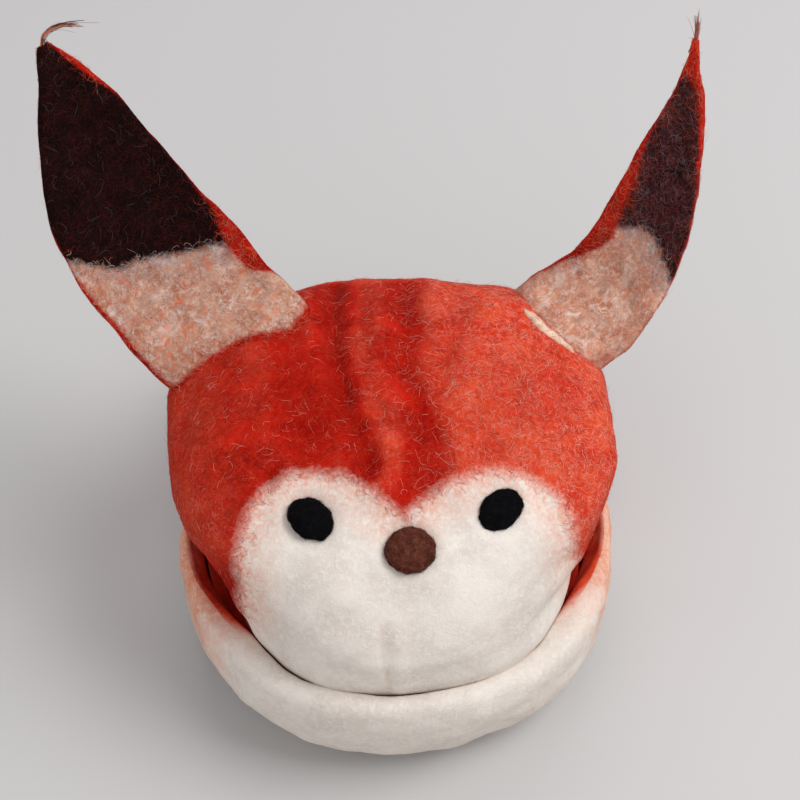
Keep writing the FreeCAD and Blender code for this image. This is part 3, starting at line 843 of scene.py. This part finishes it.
def head_profile(count):
    """Rings from the rim of the upper lip to the crown, evenly spaced along the slope."""
    knots = np.concatenate([[0.0], np.cumsum(np.hypot(np.diff(HEAD[:, 0]),
                                                      np.diff(HEAD[:, 1])))])
    dense = np.linspace(knots[0], knots[-1], 4000)
    height = smooth(knots, HEAD[:, 0], dense)
    low = dense[np.searchsorted(height, HEAD_BOTTOM)]
    where = np.linspace(low, knots[-1], count)
    return np.stack([smooth(knots, HEAD[:, column], where) for column in range(5)], -1)


def face_depth(points):
    view_up = points[..., 1] * math.sin(FACE_VIEW) + points[..., 2] * math.cos(FACE_VIEW)
    depth = polygon_depth(points[..., 0], view_up, FACE)
    return np.where(points[..., 1] > FACE_BACK, OFF_FACE, depth)


def neck_cells(grid):
    """Cells of a grid that lie in the way from the sleeve into the head."""
    cell = 0.25 * (grid[:-1] + grid[1:] + np.roll(grid[:-1], -1, 1)
                   + np.roll(grid[1:], -1, 1))
    height, half, rise = NECK_HOLE
    hole = ((cell[..., 0] / half) ** 2 + ((cell[..., 2] - height) / rise) ** 2) < 1.0
    return hole & (cell[..., 1] > NECK_START)


def build_head():
    rows, count = HEAD_GRID
    rings = head_profile(rows)
    angles = even_angles(count, 72.0, -42.0, 92.0, HEAD_MIDDLE)
    middle = np.maximum(HEAD_MIDDLE, rings[:, 2:3] + FRONT_SHARE * (rings[:, 3:4] - rings[:, 2:3]))
    across, along = ring_point(angles[None], middle, rings[:, 1:2], rings[:, 2:3],
                               rings[:, 3:4], rings[:, 4:5], BACK_SQUARENESS)
    points = np.stack([across, along, np.repeat(rings[:, 0:1], count, 1)], -1)
    points[..., 0] -= RIGHT_TRIM * (step_up(points[..., 0], 20.0, 58.0)
                                    * bell(points[..., 2], 9.0, 54.0))
    points[..., 0] += LIP_SHIFT * (1.0 - step_up(points[..., 2], 42.0, 54.0))
    normal = outward(points, (0.0, 35.0, 60.0))

    height = relief(points, 3)
    wander = 0.5 * np.stack([waves(points, 16.0, k) for k in (31, 32, 33)], -1)
    # Random tone, plus painted shade along each crease valley and a painted highlight on the ridges
    # beside it
    tone_and_crease_shade = 0.25 * waves(points, 34.0, 35)
    for path, depth, width in CREASES:
        gap = distance_to_path(points + wander, fine_path(path))
        height -= depth * bell(gap, width)
        height += 0.40 * depth * bell(gap, 1.3 * width, 2.4 * width)
        tone_and_crease_shade += 0.32 * depth * bell(gap, 1.5 * width)
        tone_and_crease_shade -= 0.16 * depth * bell(gap, 1.2 * width, 2.6 * width)
    muzzle = distance_to_path(points, fine_path(MUZZLE_CREASE))
    ridge = distance_to_path(points, fine_path(MUZZLE_RIDGE))
    height -= 0.6 * bell(muzzle, 1.6)
    height += 0.9 * bell(ridge, 3.2)
    face = face_depth(points)
    height += 0.5 * bell(face, 3.0, -1.0) - 0.3 * step_up(face, 0.0, 5.0)
    for centre, sizes, _, _ in (LEFT_EYE, RIGHT_EYE, NOSE):
        gap = np.linalg.norm(points - np.array(centre), axis=-1)
        height -= 1.2 * bell(gap, 0.85 * sizes[0])
        height += 0.5 * bell(gap, 2.6, 1.35 * sizes[0])
    for ear in (LEFT_EAR, RIGHT_EAR):
        gap = distance_to_path(points, [ear["inner"], ear["outer"]])
        height += 1.6 * bell(gap, 7.0)
    pocket = distance_to_path(points, EAR_RIDGE)
    height += 0.7 * bell(pocket, 4.0)
    rim = points[..., 2] - HEAD_BOTTOM
    height *= step_up(rim, -1.0, 5.0)
    outside = points + normal * height[..., None]

    outer, inner = rounded_wall(outside, normal, WALL, rim + 0.02, 2.2)
    sheet = Sheet(outer, inner, True, ~neck_cells(points), cap_last=True)
    # Painted light: lighter on the right side, the top and the far left edge, lighter on crease
    # ridges and darker in crease valleys, with some random tone
    painted_light_and_tone = (step_up(outer[..., 0], -10.0, 60.0) * step_up(outer[..., 2], 60.0, 85.0)
            + 0.5 * step_up(-outer[..., 0], 48.0, 72.0) - tone_and_crease_shade)
    # Distance to the muzzle crease, for the painted shade line along it
    line = np.where(points[..., 2] < 76.0, muzzle, 9.0)
    inside_face = np.full_like(face, OFF_FACE)
    skin = sheet.build("head_skin", [head_material()],
                       {"face_mm": (face, inside_face), "painted_light_and_tone": (painted_light_and_tone, painted_light_and_tone),
                        "muzzle_mm": (line, np.full_like(line, 9.0))})
    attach(skin, "head")
    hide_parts("head_cap", "face_mask")

    red_weight = step_up(-face, -0.5, 2.5) * step_up(rim, 0.0, 4.0) + 1e-4
    crown = step_up(outer[..., 2], 55.0, 96.0)
    pinks = [fibre_material("wool_pink", (0.72, 0.21, 0.15)),
             fibre_material("wool_rose", (0.60, 0.07, 0.045)),
             fibre_material("wool_flame", (0.60, 0.055, 0.014)),
             fibre_material("wool_scarlet", (0.42, 0.010, 0.004)),
             fibre_material("wool_blush", (0.84, 0.44, 0.34))]
    wool = fuzz("head_red_wool", sheet, 5200, pinks, (0.7, 3, 5, 5, 0.15), 101,
                red_weight * (0.45 + crown), (2.5, 6.5))
    more = fuzz("head_fine_wool", sheet, 5200, pinks, (1, 4, 5, 4, 0.25), 103,
                red_weight * (0.35 + crown), (2.0, 5.0), (0.018, 0.034))
    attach(more, "head")
    # Pale wool, real in kind, laid thicker on the right side as painted light, and thicker on the
    # crown
    painted_light_veil_weight = red_weight * (0.10 + step_up(outer[..., 0], -15.0, 55.0)) * (0.3 + crown)
    veil = fuzz("head_pale_veil", sheet, 5200, [pinks[0], pinks[1], pinks[4]], (4, 2, 4), 105,
                painted_light_veil_weight, (2.0, 6.0))
    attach(veil, "head")
    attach(wool, "head")
    creams = [fibre_material("wool_white", (0.79, 0.73, 0.68)),
              fibre_material("wool_cream", (0.74, 0.66, 0.60)),
              fibre_material("wool_peach", (0.74, 0.46, 0.36))]
    face_weight = step_up(face, -0.5, 2.0) + 1e-4
    down = fuzz("head_cream_wool", sheet, 1500, creams, (5, 5, 1), 111, face_weight,
                (2.5, 6.5), (0.016, 0.030), lift=0.12, stray=0.04, stray_lift=0.8)
    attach(down, "head")
    border = bell(face, 1.8, 0.6) * (points[..., 1] < 33.0) + 1e-5
    flicks = fuzz("face_edge_wool", sheet, 1100, pinks[1:4], (2, 3, 2), 121, border,
                  (1.5, 4.5), (0.022, 0.042), 0.30, stray=0.04)
    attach(flicks, "head")
    return sheet, pinks, creams


# ---- Lower jaw, cheeks and throat: one bowl of felt that bends at the corners

def bowl_rows(table, count):
    """Rows of a wall profile, evenly spaced along it, with the inset added."""
    side = table[:, 1] - table[:, 4]
    walked = np.concatenate([[0.0], np.cumsum(np.hypot(np.diff(table[:, 0]), np.diff(side)))])
    where = np.linspace(0.0, 1.0, count) * walked[-1]
    return np.stack([smooth(walked, table[:, column], where) for column in range(5)], -1)


def split_wall(table, count):
    """The outer and the inner side of a wall profile, both from the floor to the top."""
    top = int(np.argmax(table[:, 0]))
    return bowl_rows(table[:top + 1], count), bowl_rows(table[top:][::-1], count + 1)[:-1]


def build_jaw(pinks, creams):
    rows, count = JAW_GRID
    front = split_wall(BOWL_FRONT, rows)
    back = split_wall(BOWL_BACK, rows)
    angles = even_angles(count, 73.0, -52.0, 89.0, BOWL_MIDDLE)
    _, depth = ring_point(angles, BOWL_MIDDLE, 73.0, -51.0, 89.0,
                          BOWL_FRONT_SQUARENESS, BACK_SQUARENESS)
    share = step_up(depth, CORNER_START, CORNER_END)[None, :, None]
    grids = []
    for side, (near, far) in enumerate(zip(front, back)):
        table = near[:, None] * (1.0 - share) + far[:, None] * share
        thin = 1.0 - RIM_THINNING * step_up(depth, -12.0, 16.0)[None]
        inset = table[..., 4] * thin
        inset = inset + DIAGONAL_SWELL * (step_up(table[..., 4], 1.5, 7.0)
                                          * step_up(table[..., 0], 24.0, 34.0)
                                          * bell(depth, 13.0, -25.0))
        if side == 1:
            rim_inset = inset
            inset = inset + CORNER_SLOPE * (bell(table[..., 0], 5.0, 32.0)
                                            * step_up(depth, -26.0, 4.0)
                                            * (1.0 - step_up(depth, 26.0, 42.0)))
        across, along = ring_point(angles[None], BOWL_MIDDLE, table[..., 1] - inset,
                                   table[..., 2] + inset + JAW_BACK_STEP, table[..., 3] - inset,
                                   BOWL_FRONT_SQUARENESS, BACK_SQUARENESS)
        points = np.stack([across, along, table[..., 0]], -1)
        points[..., 0] += 2.0 * (step_up(points[..., 0], 20.0, 70.0)
                                 * step_up(points[..., 2], 2.0, 20.0))
        normal = outward(points, (0.0, 30.0, 60.0))
        if side == 1:
            normal = -normal
        height = relief(points, 41, 0.8) * step_up(points[..., 2], 0.4, 6.0)
        height += 0.45 * waves(points * np.array([1.0, 1.0, 0.4]), 20.0, 47) * step_up(
            points[..., 2], 30.0, 38.0) * (1.0 - step_up(points[..., 1], 30.0, 45.0))
        if side == 1:
            height = height * (0.35 + 0.65 * step_up(np.arange(rows), rows - 14, rows - 1)[:, None])
        points = points + normal * height[..., None]
        points[..., 2] = np.maximum(points[..., 2], 0.0)
        grids.append(points)
    outer, inner = grids
    sheet = Sheet(outer, inner, True, ~neck_cells(outer), cap_first=True)
    corner = step_up(inner[..., 1], -24.0, 2.0)
    below = 35.8 - inner[..., 2]
    inward = np.where(inner[..., 2] < 36.5, 6.0, 2.2 * (rim_inset - 3.5))
    lining = np.maximum(below + corner * (np.maximum(inward, below) - below), -10.0)
    blush = np.minimum(outer[..., 2] - 24.0, 0.5 * (outer[..., 1] + 14.0))
    behind = outer[..., 1] - 45.0 - 0.5 * np.maximum(20.0 - outer[..., 2], 0.0)
    skin = sheet.build("jaw_skin", [jaw_material()], {
        "lining_mm": (np.full_like(lining, -10.0), lining),
        "blush_mm": (blush, np.minimum(inner[..., 2] - 30.0, 0.5 * (inner[..., 1] + 14.0))),
        "back_mm": (behind, np.full_like(behind, -30.0))})
    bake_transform(skin)
    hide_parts("jaw_shell", "jaw_lip", "left_cheek", "right_cheek", "throat")

    cream = (step_up(outer[..., 2], 3.0, 10.0) * step_up(-behind, 0.0, 8.0)
             * step_up(42.0 - outer[..., 1], 0.0, 12.0) + 1e-5)
    down = fuzz("jaw_cream_wool", sheet, 2400, creams, (5, 4, 1), 131, cream,
                (2.5, 7.0), (0.016, 0.032), lift=0.15, stray=0.08, stray_lift=1.1)
    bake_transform(down)
    red = step_up(behind, 0.0, 8.0) * step_up(outer[..., 2], 3.0, 10.0) + 1e-5
    wool = fuzz("throat_red_wool", sheet, 1800, pinks, (3, 3, 3, 2, 1), 141, red, (4.0, 9.0))
    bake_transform(wool)


def half_disc(half_width, front, back, middle, rise):
    """A grid from the middle of the fold out to a curved front edge."""
    rows, count = PALATE_GRID
    angle = np.linspace(math.pi, 2.0 * math.pi, count)
    out = np.linspace(0.02, 1.0, rows)[:, None]
    x = half_width * signed_power(np.cos(angle), 2.0 / 2.4) * out
    y = middle + (back - middle) + ((middle - front) + (back - middle)) * (
        signed_power(np.sin(angle), 2.0 / 2.4)) * out
    z = rise * out ** 6 + 0.0 * x
    return np.stack([x, y, z], -1)


def build_mouth():
    lining = plain_felt("mouth_felt_worn", MOUTH, (0.30, 0.018, 0.010), RED, RED, 0.5, 120.0)
    for name, base, half_width, front, rise, thick, body, height in (
            ("lower_palate_felt", "lower_palate", 64.2, -42.6, 3.6, -2.2, "jaw", 32.4),
            ("upper_palate_felt", "upper_palate", 53.0, -38.0, 0.6, 2.2, "head", 36.9)):
        top = half_disc(half_width, front, 38.0, 36.0, rise)
        top[..., 2] += height
        top[..., 2] += 0.5 * waves(top, 26.0, 61) * step_up(38.0 - top[..., 1], 0.0, 8.0)
        bottom = top.copy()
        bottom[..., 2] += thick
        sheet = Sheet(top, bottom, False)
        felt = sheet.build(name, [lining])
        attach(felt, body)
        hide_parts(base)
    roll = np.linspace(-1.0, 1.0, 60)
    path = np.stack([50.5 * roll, 39.6 + 0.4 * waves(np.stack([40.0 * roll] * 3, 1), 22.0, 71),
                     35.6 + 0.0 * roll], 1)
    fat = 2.9 * np.sqrt(np.maximum(1.0 - np.abs(roll) ** 8, 0.05))
    fold = tube_object("mouth_fold_felt", path[None], fat[None], [lining], (1,), 5, 18)
    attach(fold, "head")
    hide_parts("mouth_fold")
    # Brown felt along the lip line: partly the real brownish lining and partly painted shadow of
    # the crevice between lip and jaw
    thread = plain_felt("lip_seam_lining_and_shadow", (0.16, 0.04, 0.02), (0.32, 0.10, 0.05),
                        (0.42, 0.17, 0.09), (0.5, 0.24, 0.15))
    angle = np.linspace(math.pi + 0.03, 2.0 * math.pi - 0.03, 260)
    path = np.stack([LIP_SHIFT + 56.9 * signed_power(np.cos(angle), 2.0 / 2.6),
                     35.0 + 77.1 * signed_power(np.sin(angle), 2.0 / 2.6),
                     36.1 + 0.0 * angle], 1)
    path[:, 2] += 0.3 * waves(path, 12.0, 81)
    fat = 0.8 + 0.25 * waves(path, 6.0, 83)
    seam = tube_object("lip_seam_shadow_felt", path[None], fat[None], [thread], (1,), 6, 8)
    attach(seam, "head")
    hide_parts("lip_seam")


# ---- Eyes and nose

def build_button(name, data, material, wool, seed, ragged):
    centre, sizes, outward, roll = data
    rows, count = BUTTON_GRID
    turns = around(count)
    polar = np.linspace(0.06, math.pi - 0.06, rows)
    shape = np.stack([np.cos(turns)[None] * np.sin(polar)[:, None],
                      np.sin(turns)[None] * np.sin(polar)[:, None],
                      np.repeat(np.cos(polar)[:, None], count, 1)], -1)
    shape[..., 2] = signed_power(shape[..., 2], 0.8)
    spin = Matrix.Rotation(math.radians(roll), 3, "Z")
    turn = Vector((0.0, 0.0, 1.0)).rotation_difference(Vector(outward)).to_matrix()
    matrix = np.array(turn @ spin)
    outer = (shape * np.array(sizes)) @ matrix.T + np.array(centre)
    rim = np.sin(polar)[:, None] ** 6
    outward_way = unit((shape * np.array([1.0, 1.0, 0.3])) @ matrix.T)
    height = ragged * waves(outer, 2.6, seed, 40) * rim + 0.20 * waves(outer, 3.4, seed + 1)
    outer = outer + outward_way * height[..., None]
    inner = (outer - np.array(centre)) * 0.55 + np.array(centre)
    sheet = Sheet(outer, inner, True, cap_first=True, cap_last=True)
    oval = sheet.build(name + "_felt", [material])
    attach(oval, "head")
    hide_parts(name)
    weight = np.repeat(step_up(np.cos(polar), -0.35, 0.2)[:, None], count, 1) + 1e-5
    hair = fuzz(name + "_wool", sheet, 900, wool, (3, 1), seed + 5, weight, (1.2, 3.2),
                (0.020, 0.040), 0.35, stray=0.30, stray_lift=0.8)
    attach(hair, "head")


def build_features():
    black = plain_felt("eye_felt", BLACK, (0.0035, 0.0034, 0.004), (0.008, 0.007, 0.008),
                       (0.014, 0.012, 0.012), 0.25, sheen=0.01)
    brown = plain_felt("nose_felt", (0.055, 0.013, 0.007), (0.105, 0.026, 0.015),
                       (0.19, 0.062, 0.042), (0.15, 0.042, 0.028),
                       0.5, 260.0)
    eye_wool = [fibre_material("wool_black", (0.003, 0.003, 0.004), 0.0),
                fibre_material("wool_soot", (0.016, 0.012, 0.012), 0.0)]
    nose_wool = [fibre_material("wool_umber", (0.09, 0.028, 0.018), 0.02),
                 fibre_material("wool_cocoa", (0.20, 0.085, 0.060), 0.02)]
    build_button("left_eye", LEFT_EYE, black, eye_wool, 201, 0.10)
    build_button("right_eye", RIGHT_EYE, black, eye_wool, 221, 0.14)
    build_button("nose", NOSE, brown, nose_wool, 241, 0.12)


# ---- Ears

def distance_to_points(places, points):
    """Distance from each place to the nearest of many points."""
    points = points.reshape(-1, 3)
    tree = kdtree.KDTree(len(points))
    for k, point in enumerate(points):
        tree.insert(point, k)
    tree.balance()
    found = [tree.find(place)[2] for place in places.reshape(-1, 3)]
    return np.array(found).reshape(places.shape[:-1])


def data_flare(data, up, share):
    """How far the root of the ear leans forward over the head."""
    near = np.clip(1.0 - (up[:, None] + 6.0) / 34.0, 0.0, 1.1) ** 1.5
    return near * (data["flare"][0] + data["flare"][1] * share + data["flare"][2] * share ** 2)


class Ear:
    """A leaf of felt, cupped and curled, with its loose fibres and its wisp."""

    def __init__(self, side, data):
        self.side = side
        self.data = data
        inner, outer, tip = (np.array(data[key]) for key in ("inner", "outer", "tip"))
        self.base = 0.5 * (inner + outer)
        self.up = unit(tip - self.base)
        span = outer - inner
        self.across = unit(span - self.up * (span @ self.up))
        self.front = np.cross(self.up, self.across)
        if self.front[1] > 0.0:
            self.front = -self.front

    def curve(self, key, where):
        return smooth(self.data[key][:, 0], self.data[key][:, 1], where)

    def place(self, up, across, front):
        return (self.base + self.up * up[..., None] + self.across * across[..., None]
                + self.front * front[..., None])

    def grids(self):
        rows, count = EAR_GRID
        table = self.data["stations"]
        up = np.linspace(table[0, 0], table[-1, 0], rows)
        inner, outer, cup = (smooth(table[:, 0], table[:, k], up) for k in (1, 2, 3))
        up_grid = np.repeat(up[:, None], count, 1)
        share = np.sin(np.linspace(-0.5, 0.5, count) * math.pi)[None]
        inner, outer, cup = inner[:, None], outer[:, None], cup[:, None]
        seed = self.data["seed"]
        edge = np.stack([up, 0.0 * up, 0.0 * up], 1)
        inner = inner + 0.28 * waves(edge, 13.0, seed)[:, None]
        outer = outer + 0.28 * waves(edge, 13.0, seed + 1)[:, None]
        across = 0.5 * (inner + outer) + 0.5 * (outer - inner) * share
        curl = self.curve("curl", up)[:, None]
        middle = cup * (share ** 2 - 0.35) + curl * np.clip(-share - 0.45, 0.0, 1.0) ** 2 * 3.3
        middle = middle + data_flare(self.data, up, share)
        felt = EAR_FELT * np.minimum(1.0, 0.35 + (outer - inner) / 20.0)
        round_edge = np.sqrt(np.maximum(1.0 - np.abs(share) ** 6, 0.01))
        spot = np.stack([up_grid, across, middle + 0.0 * across], -1)
        bumps = 0.7 * waves(spot, 24.0, seed + 2) + 0.25 * waves(spot, 8.0, seed + 3)
        grain = 0.12 * waves(spot, 3.6, seed + 4, 50)
        front = middle + 0.5 * felt * round_edge + bumps + grain
        back = middle - 0.5 * felt * round_edge + bumps - grain
        return up, up_grid, across, inner, outer, front, back

    def build(self, skull):
        up, up_grid, across, inner, outer, front, back = self.grids()
        data = self.data
        side = self.side
        outside = self.place(up_grid, across, front)
        inside = self.place(up_grid, across, back)
        sheet = Sheet(outside, inside, False)
        dark = up_grid - self.curve("dark_from", across)
        red_inner = self.curve("red_inner", up)[:, None]
        red_outer = self.curve("red_outer", up)[:, None]
        red = np.maximum(red_inner - (across - inner), red_outer - (outer - across))
        red = np.maximum(red, data["root_red"] - distance_to_points(outside, skull))
        back_edge = np.minimum(across - inner, outer - across)
        everywhere = np.maximum(red, np.minimum(2.5 * (back_edge - 0.6), 12.0))
        # The last number of each ear material is painted light: the left ear's tan darker, the
        # right ear's lighter
        if side == "left":
            material = ear_material("left_ear_felt", DARK, (0.008, 0.003, 0.003),
                                    (0.018, 0.006, 0.005), (0.10, 0.010, 0.006), 0.30, 0.84)
            colours = [(0.085, 0.009, 0.006), (0.018, 0.006, 0.005), (0.11, 0.08, 0.08)]
            shares = (4, 6, 0.6)
        else:
            material = ear_material("right_ear_felt", (0.008, 0.004, 0.006),
                                    (0.030, 0.009, 0.009), (0.070, 0.026, 0.026),
                                    (0.26, 0.060, 0.050), 0.6, 1.08)
            colours = [(0.30, 0.060, 0.045), (0.28, 0.20, 0.23), (0.055, 0.018, 0.018)]
            shares = (4, 2, 3)
        leaf = sheet.build(side + "_ear_leaf", [material], {
            "dark_mm": (dark, np.full_like(dark, -20.0)), "red_mm": (red, everywhere)})
        body = side + "_ear"
        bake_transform(leaf)
        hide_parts(body + "_back", body + "_lining", body + "_dark_tip")

        names = fibre_materials(side + "_ear_fibre", *colours)
        weight = step_up(dark, 0.0, 3.0) * step_up(-red, -1.0, 1.0) + 1e-5
        seed = data["seed"]
        curl = 0.5 if side == "left" else 0.95
        hair = fuzz(side + "_ear_dark_wool", sheet, 2000 if side == "left" else 1700, names,
                    shares, seed + 20, weight, (2.5, 7.0), EAR_FIBRE, 0.35, 0.06, 1.2, curl)
        pale = fibre_materials(side + "_ear_pale", (0.70, 0.58, 0.50), (0.60, 0.20, 0.10),
                               (0.32, 0.22, 0.19))
        weight = step_up(-dark, -3.0, 1.0) * step_up(-red, -1.0, 1.0) + 1e-5
        tuft = fuzz(side + "_ear_pale_wool", sheet, 1500, pale, (5, 3, 1), seed + 30, weight,
                    (2.5, 7.0), EAR_FIBRE, 0.35, 0.06, 1.2, 0.8)
        edge = fibre_materials(side + "_ear_edge", (0.62, 0.045, 0.014), (0.80, 0.24, 0.14),
                               (0.40, 0.02, 0.01))
        weight = step_up(red, -0.5, 1.0) + 1e-5
        rim = fuzz(side + "_ear_edge_wool", sheet, 1000, edge, (4, 2, 2), seed + 40, weight,
                   (2.5, 7.0), EAR_FIBRE, 0.4, 0.14, 1.4, 0.5)
        turned = Sheet(inside, outside, False)
        rear = fuzz(side + "_ear_back_wool", turned, 1600, edge, (4, 3, 2), seed + 50, None,
                    (3.0, 8.0), EAR_FIBRE, 0.4, 0.08, 1.4, 0.7)
        for piece in (hair, tuft, rim, rear):
            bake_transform(piece)
        self.build_wisp()

    def build_wisp(self):
        data = self.data
        rng = np.random.default_rng(data["seed"] + 60)
        count = data["wisp_count"]
        where = np.linspace(0.0, 1.0, WISP_STEPS)
        spread = rng.normal(0.0, 0.40, (count, 1, 3)) * (1.0 - 0.35 * where[None, :, None])
        loose = rng.uniform(size=count) < 0.22
        drift = rng.normal(0.0, 1.0, (count, 1, 3)) * (where[None, :, None] ** 1.5)
        drift *= np.where(loose, 1.5, 0.35)[:, None, None]
        reach = rng.uniform(0.55, 1.0, count)
        paths = np.stack([smooth_path(data["wisp"], where * r) for r in reach])
        paths = paths + spread + drift
        last = data["stations"][-1]
        root = self.base + self.up * (last[0] - 4.0) + self.across * 0.5 * (last[1] + last[2])
        paths[:, 0] = root + rng.normal(0.0, 0.5, (count, 3))
        thin = 0.16 * (1.0 - 0.6 * where)
        radii = np.repeat(thin[None], count, 0) * rng.uniform(0.6, 1.2, (count, 1))
        if self.side == "left":
            colours = ((0.22, 0.17, 0.17), (0.06, 0.03, 0.03), (0.66, 0.22, 0.12))
            shares = (3, 3, 2)
        else:
            colours = ((0.20, 0.17, 0.18), (0.06, 0.04, 0.04), (0.62, 0.14, 0.07))
            shares = (3, 2, 2)
        names = fibre_materials(self.side + "_wisp", *colours)
        wisp = tube_object(self.side + "_ear_wisp_wool", paths, radii, names, shares,
                           data["seed"] + 61, 4)
        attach(wisp, self.side + "_ear")
        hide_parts(self.side + "_ear_wisp")


def build_ear_ridge():
    felt = plain_felt("ear_ridge_felt", (0.70, 0.36, 0.20), (0.78, 0.58, 0.44),
                      (0.78, 0.64, 0.52), (0.80, 0.70, 0.60), 0.8, 120.0)
    where = np.linspace(0.0, 1.0, 60)
    path = smooth_path(EAR_RIDGE, where)
    path[:, 2] -= 0.9
    path += 0.35 * np.stack([waves(path, 7.0, k) for k in (91, 92, 93)], 1)
    fat = 1.8 * np.sqrt(np.maximum(1.0 - np.abs(2.0 * where - 1.0) ** 2, 0.02))
    fat = fat * (1.0 + 0.12 * waves(path, 4.0, 95))
    ridge = tube_object("right_ear_ridge_felt", path[None], fat[None], [felt], (1,), 7, 12)
    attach(ridge, "head")
    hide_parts("right_ear_ridge")
    turns = around(24)
    tangent = unit(np.gradient(path, axis=0))
    side = unit(np.cross(tangent, np.array([0.0, 0.0, 1.0])))
    lift = np.cross(side, tangent)
    ring = (side[:, None] * np.cos(turns)[None, :, None]
            + lift[:, None] * np.sin(turns)[None, :, None])
    skin = path[:, None] + ring * fat[:, None, None]
    sheet = Sheet(skin, path[:, None] + 0.5 * ring * fat[:, None, None], True)
    colours = fibre_materials("ridge_fibre", (0.78, 0.60, 0.48), (0.66, 0.20, 0.09),
                              (0.80, 0.72, 0.64))
    down = fuzz("right_ear_ridge_wool", sheet, 420, colours, (4, 2, 3), 97, None,
                (2.0, 5.0), (0.020, 0.040), 0.35, stray=0.15, stray_lift=1.0)
    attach(down, "head")


# ---- Sleeve

def build_sleeve(pinks):
    rows, count = SLEEVE_GRID
    where = np.linspace(SLEEVE[0, 0], SLEEVE[-1, 0], rows)
    height, half, rise = (smooth(SLEEVE[:, 0], SLEEVE[:, k], where)[:, None]
                          for k in (1, 2, 3))
    turns = around(count)[None]
    points = np.stack([half * np.cos(turns), np.repeat(where[:, None], count, 1),
                       height + rise * np.sin(turns)], -1)
    normal = outward(points, (0.0, 105.0, 36.0))
    hem = 1.1 * bell(where, 2.4, 127.8)[:, None]
    hem = hem - 0.7 * bell(where, 0.9, 124.4)[:, None]
    flare = 2.0 * bell(where, 3.0, 92.0)[:, None]
    bumps = relief(points, 301, 0.9)
    outside = points + normal * (hem + flare + bumps)[..., None]
    edge = np.minimum(where - where[0], where[-1] - where)[:, None]
    outer, inner = rounded_wall(outside, normal, WALL, edge + 0.05 + 0.0 * turns, 2.4)
    outer[..., 2] = np.maximum(outer[..., 2], 0.3)
    sheet = Sheet(outer, inner, True)
    felt = Felt("sleeve_felt")
    cloth = sheet.build("sleeve_skin", [felt.finish(red_felt(felt, 0.5))])
    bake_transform(cloth)
    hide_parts("sleeve", "cuff")
    weight = np.repeat(step_up(where, 88.0, 96.0)[:, None], count, 1) + 1e-5
    wool = fuzz("sleeve_red_wool", sheet, 2200, pinks, (3, 3, 3, 2, 1), 311, weight, (4.0, 9.0))
    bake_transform(wool)


# ---- Studio

def build_studio():
    bpy.ops.mesh.primitive_plane_add(size=6.0, location=(0.0, 0.0, PAPER_HEIGHT))
    floor = bpy.context.object
    floor.name = "studio_floor"
    paper = bpy.data.materials.new("studio_paper")
    paper.use_nodes = True
    shader = paper.node_tree.nodes["Principled BSDF"]
    shader.inputs["Base Color"].default_value = (*PAPER, 1.0)
    shader.inputs["Roughness"].default_value = 0.95
    shader.inputs["Specular IOR Level"].default_value = 0.05
    floor.data.materials.append(paper)

    world = bpy.data.worlds.new("studio_world")
    world.use_nodes = True
    sky = world.node_tree.nodes["Background"]
    sky.inputs["Color"].default_value = (*SKY, 1.0)
    sky.inputs["Strength"].default_value = SKY_STRENGTH
    bpy.context.scene.world = world

    for name, place, size, power in LIGHTS:
        lamp = bpy.data.lights.new("studio_" + name, "AREA")
        lamp.energy = power
        lamp.size = size
        holder = bpy.data.objects.new("studio_" + name, lamp)
        holder.location = place
        aim = Vector(LIGHT_AIM) - Vector(place)
        holder.rotation_euler = aim.to_track_quat("-Z", "Y").to_euler()
        bpy.context.scene.collection.objects.link(holder)

    camera = bpy.data.cameras.new("camera")
    camera.sensor_fit = "HORIZONTAL"
    camera.angle = CAMERA_ANGLE
    camera.clip_start = 0.05
    holder = bpy.data.objects.new("camera", camera)
    level = math.cos(CAMERA_ELEVATION)
    back = Vector((math.sin(CAMERA_AZIMUTH) * level, -math.cos(CAMERA_AZIMUTH) * level,
                   math.sin(CAMERA_ELEVATION)))
    holder.location = Vector(CAMERA_TARGET) + back * CAMERA_DISTANCE
    holder.rotation_euler = (-back).to_track_quat("-Z", "Y").to_euler()
    bpy.context.scene.collection.objects.link(holder)
    bpy.context.scene.camera = holder
    bpy.context.scene.view_settings.view_transform = "Standard"


head_sheet, red_wools, cream_wools = build_head()
build_jaw(red_wools, cream_wools)
build_mouth()
build_features()
for ear_side, ear_data in (("left", LEFT_EAR), ("right", RIGHT_EAR)):
    Ear(ear_side, ear_data).build(head_sheet.outside)
build_ear_ridge()
build_sleeve(red_wools)
build_studio()
